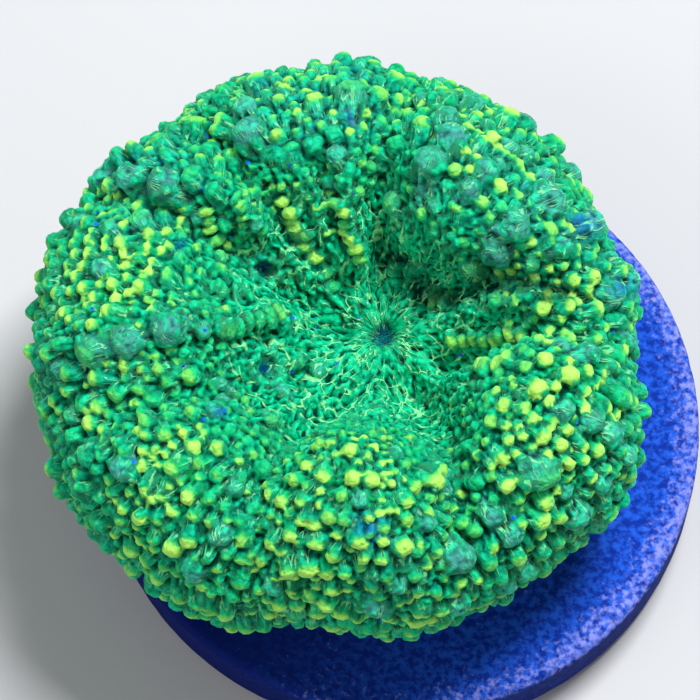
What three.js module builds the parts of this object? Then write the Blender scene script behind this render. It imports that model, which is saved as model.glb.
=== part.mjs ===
// A brain coral on the round ceramic disc that it grows on.
//
// Millimetres, +Z up. The origin is the centre of the disc's underside.
// The coral is one fleshy polyp: a wide crown on a narrower foot, hollowed to a mouth near its
// middle, cut by grooves that run from the mouth to the rim, and covered with knobs and blisters.

import * as THREE from "three";
import { ConvexHull } from "three/addons/math/ConvexHull.js";

// The disc
const DISC_DIAMETER = 38;
const DISC_THICKNESS = 5;
const DISC_TOP_EDGE = 0.6;
const DISC_FOOT_EDGE = 0.9;
const DISC_SIDES = 71;
const DISC_EDGE_STEPS = 2;

// The coral's place on the disc: its foot stands off centre
const CORAL_PLACE = [-3.5, 1.7, DISC_THICKNESS];

// The crown's section from the mouth to the foot's edge, as [radius, height above the disc]
const SECTION = [
  [0, 8.6],
  [3.6, 9.6],
  [7.4, 12.8],
  [11.2, 15.4],
  [14.6, 15.0],
  [16.8, 12.6],
  [17.3, 9.2],
  [16.1, 5.6],
  [13.8, 2.4],
  [12.4, 0],
];
const FOOT_TURN = 0.86; // share of the half turn from mouth to base that the section takes
const FOOT_SIDES = 40;

// The mouths, as [x, y] from the coral's centre
const MOUTH = [2.4, 1.0];
const SIDE_MOUTHS = [
  [-5.0, 4.5],
  [-4.8, -2.4],
];
const MOUTH_RADIUS = 1.2;
const SIDE_MOUTH_RADIUS = 1.0;
const MOUTH_LIP = { reach: 0.85, rise: 0.35 }; // the raised ring round a mouth, in its radii
const MOUTH_SETTLES_AT = 0.42; // share of the half turn where the section is centred again

// Lobes that swell from the crown: middle x and y, how far they spread, how high they rise
const LOBES = [
  { x: 9.0, y: 8.1, spread: 4.2, rise: 2.6 },
  { x: -0.8, y: 13.4, spread: 3.8, rise: 1.3 },
  { x: -11.0, y: 8.5, spread: 3.6, rise: 1.2 },
  { x: -14.9, y: -0.3, spread: 3.6, rise: 1.1 },
  { x: -12.5, y: -9.5, spread: 3.8, rise: 0.9 },
  { x: -6.3, y: -15.3, spread: 3.0, rise: 0.8 },
  { x: 0.7, y: -12.5, spread: 3.3, rise: 2.6 },
  { x: 8.4, y: -16.6, spread: 2.8, rise: 0.8 },
  { x: 13.9, y: -7.5, spread: 3.8, rise: 2.0 },
  { x: 16.3, y: 2.6, spread: 2.4, rise: 1.0 },
];

// Grooves from the mouth outwards: the way they run, how wide they are, how deep they cut
const GROOVES = [
  { way: [[5.3, 3.1], [9.6, 2.7], [13.9, 1.2], [18.2, -0.2]], width: 1.2, depth: 2.2 },
  { way: [[5.9, -1.1], [10.8, -0.7], [15.7, -1.4], [18.8, -2.2]], width: 1.3, depth: 2.6 },
  { way: [[3.8, -2.4], [5.9, -6.8], [6.7, -11.0], [7.0, -15.5]], width: 1.7, depth: 2.4 },
  { way: [[0.1, -3.8], [-3.0, -7.5], [-4.6, -11.4], [-5.4, -15.3]], width: 1.4, depth: 1.5 },
  { way: [[-2.1, -2.5], [-7.0, -4.9], [-11.3, -6.0], [-16.8, -6.1]], width: 1.4, depth: 1.2 },
  { way: [[-0.2, 1.9], [-5.0, 4.0], [-8.8, 5.4], [-15.6, 8.5]], width: 1.5, depth: 1.8 },
  { way: [[0.1, 3.6], [-3.9, 6.8], [-6.7, 9.2], [-9.4, 13.1]], width: 1.3, depth: 1.4 },
  { way: [[1.3, 4.2], [-0.7, 7.2], [-1.7, 9.8]], width: 0.9, depth: 0.9 },
  { way: [[2.5, 3.8], [2.1, 7.3], [2.7, 11.1], [4.7, 16.0]], width: 1.3, depth: 2.0 },
];
const RELIEF_FADES = [0.6, 0.8]; // shares of the half turn over which lobes and grooves die away
const RIM_FADES = [0.34, 0.5]; // shares of the half turn over which grooves grow shallow
const RIM_SHARE = 0.2; // of a groove's depth that is left at the rim

// The rim in plan: it reaches furthest one way, and has shallow dents, in degrees and of its radius
const REACH = { way: 215, more: 0.035 };
const DENTS = [
  { way: 47, width: 18, depth: 0.06 },
  { way: 106, width: 13, depth: 0.055 },
  { way: 136, width: 9, depth: 0.04 },
  { way: 181, width: 9, depth: 0.035 },
  { way: 270, width: 13, depth: 0.1 },
];

// Blisters, the larger bladders among the knobs, as [x, y, radius]
const BLISTERS = [
  [5.3, 8.5, 1.9], [6.8, 10.2, 1.5], [10.8, 6.9, 1.6], [9.6, 4.2, 1.4], [12.1, 8.2, 1.7],
  [7.8, 3.4, 1.2], [14.8, 6.0, 1.5], [6.7, -14.5, 1.7], [-2.7, -15.9, 1.6], [-14.6, -3.4, 1.6],
  [-11.3, -2.2, 1.5], [-7.2, -1.3, 1.2], [-4.3, 0.2, 1.2], [-11.7, 9.2, 1.5], [-9.3, 8.6, 1.3],
  [-6.4, 14.2, 1.5], [0.4, 13.6, 1.5], [11.6, -9.6, 1.6], [14.6, -11.0, 1.6], [9.9, -14.6, 1.4],
  [-12.9, -11.9, 1.5], [-9.0, -14.4, 1.4], [-15.9, 3.4, 1.4], [16.6, 2.7, 1.4], [3.2, -14.6, 1.3],
];
const BLISTER_RISE = 0.75; // of its radius
const BLISTER_SIDES = 8;
const BLISTER_SHOULDER = { reach: 0.7, rise: 0.7 }; // the ring below its tip, of radius and rise

// Knobs: closest first at the rim, smaller towards the mouth and the foot
const KNOB_SIDES = 6;
const KNOB_RISE = 1.05; // of its radius
const KNOB_SHOULDER = { reach: 0.6, rise: 0.7 }; // the ring below its tip, of radius and rise
const KNOB_GAP = 0.93; // of the sum of two neighbours' radii
const KNOB_ZONES = [
  { until: 0.13, radius: 0 },
  { until: 0.29, radius: 0.95 },
  { until: 0.5, radius: 1.25 },
  { until: 0.66, radius: 1.3 },
  { until: 0.74, radius: 1.2 },
  { until: FOOT_TURN, radius: 0 },
];
const KNOB_VARIES = 0.25; // of its radius, larger or smaller
const CREASE_DEPTH = 0.15;

// Bare flesh, in the mouth's bowl and between the knobs and the foot
const BOWL_ENDS_AT = 0.5; // share of the half turn
const BARE_ENDS_AT = 0.97 * FOOT_TURN;
const BARE_GAP = { bowl: 1.25, foot: 2.6 };
const BARE_CLEARANCE = 1.1; // of a bump's radius

const CANDIDATES = 6000; // places that are tried for knobs, spread evenly over the polyp
const GOLDEN_ANGLE = Math.PI * (3 - Math.sqrt(5));
const STEP = 1e-3; // of a direction's length, for slopes
const UP = new THREE.Vector3(0, 0, 1);

// A repeatable stream of numbers from 0 to 1.
function seededRandom(seed) {
  let state = seed;
  return () => {
    state = (state * 16807) % 2147483647;
    return state / 2147483647;
  };
}

const random = seededRandom(20417);
const section = new THREE.SplineCurve(SECTION.map(([r, z]) => new THREE.Vector2(r, z)));

// Distance in plan from a point to a way of straight stretches.
function distanceToWay(point, way) {
  const nearest = new THREE.Vector2();
  let shortest = Infinity;
  for (let i = 1; i < way.length; i++) {
    const from = new THREE.Vector2(...way[i - 1]);
    const along = new THREE.Vector2(...way[i]).sub(from);
    const reach = nearest.subVectors(point, from).dot(along) / along.lengthSq();
    nearest.copy(from).addScaledVector(along, THREE.MathUtils.clamp(reach, 0, 1));
    shortest = Math.min(shortest, nearest.distanceTo(point));
  }
  return shortest;
}

// How far lobes lift the flesh and grooves cut it, at a point in plan.
function relief(point, turn) {
  let lift = 0;
  for (const { x, y, spread, rise } of LOBES) {
    const away = Math.hypot(point.x - x, point.y - y) / spread;
    lift += rise * Math.exp(-(away ** 2) / 2);
  }
  let cut = 0;
  for (const { way, width, depth } of GROOVES) {
    cut = Math.max(cut, depth * Math.exp(-((distanceToWay(point, way) / width) ** 2)));
  }
  cut *= 1 - (1 - RIM_SHARE) * THREE.MathUtils.smoothstep(turn, ...RIM_FADES);
  return (lift - cut) * (1 - THREE.MathUtils.smoothstep(turn, ...RELIEF_FADES));
}

// How far the form reaches in a direction of the plan, of its section.
function reachOf(around) {
  const degrees = THREE.MathUtils.radToDeg(around);
  let reach = 1 + REACH.more * Math.cos(THREE.MathUtils.degToRad(degrees - REACH.way));
  for (const { way, width, depth } of DENTS) {
    const away = THREE.MathUtils.euclideanModulo(degrees - way + 180, 360) - 180;
    reach -= depth * Math.exp(-((away / width) ** 2));
  }
  return reach;
}

// Share of the half turn from the mouth, straight up, to the base, straight down.
function turnOf(direction) {
  return Math.acos(THREE.MathUtils.clamp(direction.z, -1, 1)) / Math.PI;
}

// The flesh in a direction: the section, centred on the mouth and then on the coral, with its relief.
function flesh(direction) {
  const turn = turnOf(direction);
  const around = Math.atan2(direction.y, direction.x);
  const outwards = new THREE.Vector3(Math.cos(around), Math.sin(around), 0);
  const settle = 1 - THREE.MathUtils.smoothstep(turn, 0, MOUTH_SETTLES_AT);
  const centre = new THREE.Vector3(...MOUTH, 0).multiplyScalar(settle);
  const reach = reachOf(around);
  const place = (r, z) => centre.clone().addScaledVector(outwards, r * reach).setZ(z);
  const share = turn / FOOT_TURN;
  if (share > 1) return place((SECTION.at(-1)[0] * (1 - turn)) / (1 - FOOT_TURN), 0);
  const at = section.getPoint(share);
  const tangent = section.getTangent(share);
  const surface = place(at.x, at.y);
  const lift = relief(new THREE.Vector2(surface.x, surface.y), turn);
  return surface.addScaledVector(outwards.multiplyScalar(-tangent.y).setZ(tangent.x), lift);
}

// Two directions square to one another and to the given one.
function crossways(direction) {
  const turned = new THREE.Quaternion().setFromUnitVectors(UP, direction);
  const level = [new THREE.Vector3(1, 0, 0), new THREE.Vector3(0, 1, 0)];
  return level.map((side) => side.applyQuaternion(turned));
}

// A bump of the flesh: where it stands, the way it points, and the stretch of the surface about it.
function bumpAt(direction, shape) {
  const foot = flesh(direction);
  const sides = crossways(direction);
  const slopes = sides.map((side) =>
    flesh(direction.clone().addScaledVector(side, STEP).normalize()).sub(foot).divideScalar(STEP),
  );
  const axis = new THREE.Vector3().crossVectors(slopes[0], slopes[1]).normalize();
  return { direction, foot, axis, sides, stretch: slopes.map((slope) => slope.length()), ...shape };
}

// Even directions over the whole polyp, in a mixed order.
function evenDirections(count) {
  const made = Array.from({ length: count }, (_, i) => {
    const z = 1 - (2 * i + 1) / count;
    const around = i * GOLDEN_ANGLE;
    const across = Math.sqrt(1 - z * z);
    return new THREE.Vector3(across * Math.cos(around), across * Math.sin(around), z);
  });
  for (let i = made.length - 1; i > 0; i--) {
    const other = Math.floor(random() * (i + 1));
    [made[i], made[other]] = [made[other], made[i]];
  }
  return made;
}

// The direction among many whose flesh lies nearest to a point in plan, on the crown's upper side.
function directionOver([x, y], directions) {
  const offset = (direction) => {
    const { x: px, y: py } = flesh(direction);
    return Math.hypot(px - x, py - y);
  };
  return directions
    .filter((direction) => turnOf(direction) < RELIEF_FADES[0])
    .reduce((best, direction) => (offset(direction) < offset(best) ? direction : best));
}

// A mouth: a pit in a raised ring.
function mouthAt(direction, radius) {
  const { reach, rise } = MOUTH_LIP;
  const shoulder = rise * radius;
  return bumpAt(direction, { radius, tip: -radius, shoulder, reach, sidesCount: BLISTER_SIDES });
}

function blisterAt(direction, radius) {
  const { reach, rise } = BLISTER_SHOULDER;
  const tip = BLISTER_RISE * radius;
  return bumpAt(direction, { radius, tip, shoulder: rise * tip, reach, sidesCount: BLISTER_SIDES });
}

function knobAt(direction, radius) {
  const { reach, rise } = KNOB_SHOULDER;
  const tip = KNOB_RISE * radius;
  return bumpAt(direction, { radius, tip, shoulder: rise * tip, reach, sidesCount: KNOB_SIDES });
}

// The mouths, the blisters, and the knobs that find room among those before them.
function growBumps(directions) {
  const bumps = [
    mouthAt(UP, MOUTH_RADIUS),
    ...SIDE_MOUTHS.map((place) => mouthAt(directionOver(place, directions), SIDE_MOUTH_RADIUS)),
    ...BLISTERS.map(([x, y, radius]) => blisterAt(directionOver([x, y], directions), radius)),
  ];
  const clear = (foot, radius) =>
    bumps.every((bump) => bump.foot.distanceTo(foot) > KNOB_GAP * (bump.radius + radius));
  for (const direction of directions) {
    const zone = KNOB_ZONES.find(({ until }) => turnOf(direction) < until);
    const radius = (zone?.radius ?? 0) * (1 + KNOB_VARIES * (2 * random() - 1));
    if (radius > 0 && clear(flesh(direction), radius)) bumps.push(knobAt(direction, radius));
  }
  return bumps;
}

// The directions of the ring of vertices below a bump's tip.
function ringOf({ direction, sides, stretch, radius, reach, sidesCount }) {
  const start = random() * Math.PI;
  return Array.from({ length: sidesCount }, (_, i) => {
    const angle = start + (2 * Math.PI * i) / sidesCount;
    return direction
      .clone()
      .addScaledVector(sides[0], (radius * reach * Math.cos(angle)) / stretch[0])
      .addScaledVector(sides[1], (radius * reach * Math.sin(angle)) / stretch[1])
      .normalize();
  });
}

// The directions of the bare flesh's vertices, clear of the bumps.
function bareDirections(directions, bumps) {
  const kept = [];
  const taken = bumps.map(({ foot, radius }) => ({ foot, room: BARE_CLEARANCE * radius }));
  for (const direction of directions.filter((each) => turnOf(each) < BARE_ENDS_AT)) {
    const room = turnOf(direction) < BOWL_ENDS_AT ? BARE_GAP.bowl : BARE_GAP.foot;
    const foot = flesh(direction);
    if (taken.some((other) => other.foot.distanceTo(foot) < Math.max(room, other.room))) continue;
    taken.push({ foot, room });
    kept.push(direction);
  }
  return kept;
}

// The directions of the foot's edge and of the middle of its flat underside.
function footDirections() {
  const drop = Math.cos(FOOT_TURN * Math.PI);
  const across = Math.sin(FOOT_TURN * Math.PI);
  const edge = Array.from({ length: FOOT_SIDES }, (_, i) => {
    const around = (2 * Math.PI * i) / FOOT_SIDES;
    return new THREE.Vector3(across * Math.cos(around), across * Math.sin(around), drop);
  });
  return [...edge, UP.clone().negate()];
}

// Triangles over directions, as triples of places in the list: the faces of their convex hull.
function triangulate(directions) {
  const places = new Map(directions.map((direction, i) => [direction, i]));
  return new ConvexHull().setFromPoints(directions).faces.map((face) => {
    const { edge } = face;
    return [edge.head(), edge.next.head(), edge.prev.head()].map(({ point }) => places.get(point));
  });
}

// The vertex of the crease where two or three bumps meet, nearer to the smaller ones.
function creaseOf(bumps) {
  const direction = new THREE.Vector3();
  const axis = new THREE.Vector3();
  for (const bump of bumps) {
    direction.addScaledVector(bump.direction, 1 / bump.radius);
    axis.add(bump.axis);
  }
  return { direction: direction.normalize(), axis: axis.normalize(), rise: -CREASE_DEPTH };
}

// The coral's closed surface: tips and rings of the bumps, the creases between them, and the bare flesh.
function coralGeometry() {
  const directions = evenDirections(CANDIDATES);
  const bumps = growBumps(directions);
  const foot = footDirections();
  const bare = bareDirections(directions, bumps);
  const tips = bumps.map(({ direction }) => direction);
  const vertices = bumps.map(({ direction, axis, tip }) => ({ direction, axis, rise: tip }));
  for (const bump of bumps) {
    const { axis, shoulder: rise } = bump;
    for (const direction of ringOf(bump)) vertices.push({ direction, axis, rise });
  }
  for (const direction of [...bare, ...foot]) vertices.push({ direction, rise: 0 });
  const between = triangulate([...tips, ...bare, ...foot]).filter((corners) =>
    corners.every((corner) => corner < tips.length),
  );
  for (const corners of between) vertices.push(creaseOf(corners.map((corner) => bumps[corner])));
  for (const corners of between) {
    corners.forEach((corner, i) => {
      const next = corners[(i + 1) % corners.length];
      if (corner < next) vertices.push(creaseOf([bumps[corner], bumps[next]]));
    });
  }
  const points = vertices.map(({ direction, axis, rise }) =>
    axis ? flesh(direction).addScaledVector(axis, rise) : flesh(direction),
  );
  const faces = triangulate(vertices.map(({ direction }) => direction));
  const geometry = new THREE.BufferGeometry().setFromPoints(points);
  geometry.setIndex(faces.flat());
  geometry.computeVertexNormals();
  return geometry;
}

// The disc's section turned about its axis, from the middle of its underside to the middle of its top.
function discGeometry() {
  const radius = DISC_DIAMETER / 2;
  const edge = DISC_TOP_EDGE;
  const outline = new THREE.Path()
    .moveTo(0, 0)
    .lineTo(radius - DISC_FOOT_EDGE, 0)
    .lineTo(radius, DISC_FOOT_EDGE)
    .absarc(radius - edge, DISC_THICKNESS - edge, edge, 0, Math.PI / 2)
    .lineTo(0, DISC_THICKNESS);
  return new THREE.LatheGeometry(outline.getPoints(DISC_EDGE_STEPS), DISC_SIDES).rotateX(Math.PI / 2);
}

const coralFlesh = new THREE.MeshStandardMaterial({ color: 0x2fb457, roughness: 0.55, metalness: 0 });
const rawCeramic = new THREE.MeshStandardMaterial({ color: 0x3560d8, roughness: 0.9, metalness: 0 });

const disc = new THREE.Mesh(discGeometry(), rawCeramic);
disc.name = "ceramic_disc";

const coral = new THREE.Mesh(coralGeometry(), coralFlesh);
coral.name = "coral";
coral.position.set(...CORAL_PLACE);

const brainCoral = new THREE.Group();
brainCoral.add(disc, coral);

export default brainCoral;
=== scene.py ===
"""Looks of a brain coral on its ceramic disc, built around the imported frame.

The coral is sculpted in millimetres, in its own frame: the origin is the middle of its foot, on the
disc's top, and +Z is up. Its mesh is put into the row frame, in metres, when it is done.
"""

import logging
import math
from dataclasses import dataclass, field
from enum import Enum, IntEnum

import bmesh
import bpy
import numpy as np
from mathutils import Matrix, Vector
from mathutils.bvhtree import BVHTree
from mathutils.kdtree import KDTree

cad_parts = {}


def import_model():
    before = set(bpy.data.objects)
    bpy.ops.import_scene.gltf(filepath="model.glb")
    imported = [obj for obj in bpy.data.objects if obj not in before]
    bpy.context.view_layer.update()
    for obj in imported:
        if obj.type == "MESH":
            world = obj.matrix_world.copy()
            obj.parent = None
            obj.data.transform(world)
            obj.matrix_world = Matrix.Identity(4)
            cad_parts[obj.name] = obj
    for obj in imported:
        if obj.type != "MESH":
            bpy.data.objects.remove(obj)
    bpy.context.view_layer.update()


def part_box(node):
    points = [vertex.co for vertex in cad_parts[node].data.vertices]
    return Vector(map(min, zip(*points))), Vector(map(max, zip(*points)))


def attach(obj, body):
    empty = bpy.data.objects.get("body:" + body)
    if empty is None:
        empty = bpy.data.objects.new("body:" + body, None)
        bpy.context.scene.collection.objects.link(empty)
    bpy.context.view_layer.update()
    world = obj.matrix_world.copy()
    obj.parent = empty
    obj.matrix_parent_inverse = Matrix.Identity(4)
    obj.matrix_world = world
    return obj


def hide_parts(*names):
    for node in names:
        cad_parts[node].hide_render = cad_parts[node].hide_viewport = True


log = logging.getLogger("coral")

Colour = tuple[float, float, float]
Place = tuple[float, float]  # in plan, or a column and a row
Pair = tuple[float, float]  # mostly the least and the most of something

MM = 0.001
CORAL_OFFSET = (-3.5, 1.7)  # mm, the coral's middle from the disc's axis
SCATTER_SEED = 20417
GRAIN_MIDDLE = 0.5  # the middle of a noise texture's values


class Seed(IntEnum):
    """Which noise is meant."""

    DRIFT = 11
    FOLDS = 12
    STRIAE = 13
    LUMPS = 14
    BREAKS = 15
    BLUE = 21
    MOUTHS = 22
    WARM = 23
    PITS = 31
    FINE_PITS = 32
    WEAR = 33
    GROWTHS = 41


def smoothstep(values: np.ndarray, low: float, high: float) -> np.ndarray:
    """Ease from 0 at low to 1 at high.

    Args:
        values: the numbers to ease.
        low: where the ease starts.
        high: where it ends.

    Returns:
        Numbers from 0 to 1.
    """
    share = np.clip((values - low) / (high - low), 0, 1)
    return share * share * (3 - 2 * share)


def unit(vectors: np.ndarray) -> np.ndarray:
    """Vectors of length 1 along the given ones."""
    return vectors / np.maximum(np.linalg.norm(vectors, axis=-1, keepdims=True), 1e-12)


HASH_PRIMES = (374761393, 668265263, 2246822519)
HASH_SHIFT = 15
HASH_SPAN = 2.0**31


def lattice_values(cells: np.ndarray, seed: int) -> np.ndarray:
    """A repeatable number from -1 to 1 for each cell of a lattice.

    Args:
        cells: whole-number places, one row of three each.
        seed: which lattice.

    Returns:
        One number for each row.
    """
    mixed = np.full(len(cells), seed, np.uint32)
    for axis, prime in enumerate(HASH_PRIMES):
        mixed = (mixed ^ cells[:, axis].astype(np.uint32)) * np.uint32(prime)
        mixed ^= mixed >> np.uint32(HASH_SHIFT)
    return mixed / HASH_SPAN - 1


def noise(points: np.ndarray, seed: int) -> np.ndarray:
    """Smooth noise from -1 to 1, with features one unit in size.

    Args:
        points: where it is wanted, one row of three each.
        seed: which noise.

    Returns:
        One number for each row.
    """
    cells = np.floor(points).astype(np.int64)
    share = points - cells
    share = share * share * (3 - 2 * share)
    total = np.zeros(len(points))
    for corner in np.ndindex(2, 2, 2):
        weight = np.prod(np.where(corner, share, 1 - share), axis=1)
        total += weight * lattice_values(cells + np.array(corner), seed)
    return total


@dataclass(frozen=True)
class View:
    """The photograph's point of view, in the row frame and millimetres."""

    target: tuple[float, float, float] = (-3.1, 1.5, 14.0)
    elevation: float = 70.0  # degrees
    distance: float = 250.0
    field_of_view: float = 9.8  # degrees
    picture: float = 700.0  # pixels along each side
    clip: float = 10.0  # how many times nearer and farther than the target it sees

    def axes(self) -> tuple[np.ndarray, np.ndarray, np.ndarray]:
        """The camera's own directions.

        Returns:
            Its right, its up and its backward direction.
        """
        tilt = math.radians(self.elevation)
        right = np.array((1.0, 0.0, 0.0))
        up = np.array((0.0, math.sin(tilt), math.cos(tilt)))
        backward = np.array((0.0, -math.cos(tilt), math.sin(tilt)))
        return right, up, backward

    def eye(self) -> np.ndarray:
        """Where the camera stands."""
        return np.array(self.target) + self.distance * self.axes()[2]

    def ray(self, pixel: Place) -> np.ndarray:
        """The direction in which the camera sees a pixel.

        Args:
            pixel: columns from the left and rows from the top of the photograph.

        Returns:
            A direction of length 1.
        """
        right, up, backward = self.axes()
        middle = self.picture / 2
        spread = math.tan(math.radians(self.field_of_view) / 2) / middle
        across = (pixel[0] - middle) * spread
        upwards = (middle - pixel[1]) * spread
        return unit(right * across + up * upwards - backward)

    def pixels(self, points: np.ndarray) -> np.ndarray:
        """Where the image shows points.

        Args:
            points: points in the row frame, in millimetres.

        Returns:
            Columns from the left and rows from the top.
        """
        right, up, backward = self.axes()
        away = points - np.array(self.target)
        nearness = self.distance / (self.distance - away @ backward) / self.pixel_size()
        middle = self.picture / 2
        return np.column_stack((middle + away @ right * nearness, middle - away @ up * nearness))

    def pixel_size(self) -> float:
        """Millimetres that a pixel covers at the target."""
        return 2 * self.distance * math.tan(math.radians(self.field_of_view) / 2) / self.picture

    def make_camera(self) -> bpy.types.Object:
        """Add the camera and make it the scene's own.

        Returns:
            The camera's object.
        """
        data = bpy.data.cameras.new("camera")
        data.sensor_fit = "HORIZONTAL"
        data.angle = math.radians(self.field_of_view)
        data.clip_start = self.distance * MM / self.clip
        data.clip_end = self.distance * MM * self.clip
        camera = bpy.data.objects.new("camera", data)
        axes = Matrix([Vector(axis) for axis in self.axes()]).transposed()
        camera.matrix_world = Matrix.Translation(Vector(self.eye()) * MM) @ axes.to_4x4()
        bpy.context.scene.collection.objects.link(camera)
        bpy.context.scene.camera = camera
        return camera


@dataclass(frozen=True)
class Lobe:
    """A swelling of the crown, in plan."""

    x: float
    y: float
    spread: float
    rise: float


@dataclass(frozen=True)
class Groove:
    """A furrow of the crown along a way in plan."""

    way: tuple[Place, ...]
    width: float
    depth: float


@dataclass(frozen=True)
class Ridge:
    """A fold that runs down into the bowl along a way in plan."""

    way: tuple[Place, ...]
    width: float
    rise: float


@dataclass(frozen=True)
class Pit:
    """A mouth sunk into the flesh, in plan."""

    x: float
    y: float
    width: float
    depth: float


@dataclass(frozen=True)
class Notch:
    """A shallow dent of the rim: its way and width in degrees, and its depth of the radius."""

    way: float
    width: float
    depth: float


NOTCHES = (
    Notch(38, 24, 0.115),
    Notch(98, 15, 0.06),
    Notch(136, 12, 0.065),
    Notch(181, 9, 0.035),
    Notch(266, 14, 0.15),
)

LOBES = (
    Lobe(9.0, 8.1, 4.2, 2.6),
    Lobe(-0.8, 13.4, 3.8, 1.3),
    Lobe(-11.0, 8.5, 3.6, 1.2),
    Lobe(-14.9, -0.3, 3.6, 1.1),
    Lobe(-12.5, -9.5, 3.8, 0.9),
    Lobe(-6.3, -15.3, 3.0, 0.8),
    Lobe(0.7, -12.5, 3.3, 2.6),
    Lobe(8.4, -16.6, 2.8, 0.8),
    Lobe(13.9, -7.5, 3.8, 2.0),
    Lobe(16.3, 2.6, 2.4, 1.0),
)

GROOVES = (
    Groove(((5.3, 3.1), (9.6, 2.7), (13.9, 1.2), (18.2, -0.2)), 1.2, 2.2),
    Groove(((5.9, -1.1), (10.8, -0.7), (15.7, -1.4), (18.8, -2.2)), 1.3, 2.6),
    Groove(((3.8, -2.4), (5.9, -6.8), (6.7, -11.0), (7.0, -15.5)), 1.7, 2.4),
    Groove(((0.1, -3.8), (-3.0, -7.5), (-4.6, -11.4), (-5.4, -15.3)), 1.4, 1.5),
    Groove(((-2.1, -2.5), (-7.0, -4.9), (-11.3, -6.0), (-16.8, -6.1)), 1.4, 1.2),
    Groove(((-0.2, 1.9), (-5.0, 4.0), (-8.8, 5.4), (-15.6, 8.5)), 1.5, 1.8),
    Groove(((0.1, 3.6), (-3.9, 6.8), (-6.7, 9.2), (-9.4, 13.1)), 1.3, 1.4),
    Groove(((1.3, 4.2), (-0.7, 7.2), (-1.7, 9.8)), 0.9, 0.9),
    Groove(((2.5, 3.8), (2.1, 7.3), (2.7, 11.1), (4.7, 16.0)), 1.3, 2.0),
)

RIDGES = (
    Ridge(((-2.3, 8.9), (-0.5, 5.0)), 0.8, 0.7),
    Ridge(((0.2, 9.0), (1.1, 5.0)), 0.6, 0.6),
    Ridge(((-3.6, 1.2), (-8.9, -0.9), (-15.6, -1.7)), 1.0, 0.8),
    Ridge(((-5.5, 6.7), (-8.9, 8.3), (-14.4, 9.5)), 0.9, 0.5),
    Ridge(((-2.7, -3.4), (-8.9, -6.8), (-13.8, -9.4)), 0.9, 0.5),
)

MOUTH = (2.4, 1.0)
HOLLOW = (3.9, 4.8)  # under the largest lobe, beside the bowl
# Painted shadow: the flesh is darkened along this way, at the foot of the largest lobe.
SHADOW_FOLD_WAY = ((4.4, 3.4), (6.5, 2.3), (9.6, 2.0), (13.0, 1.0))  # along the foot of that lobe

PITS = (
    Pit(*MOUTH, 0.8, 1.1),
    Pit(*HOLLOW, 1.0, 1.6),
)


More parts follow.
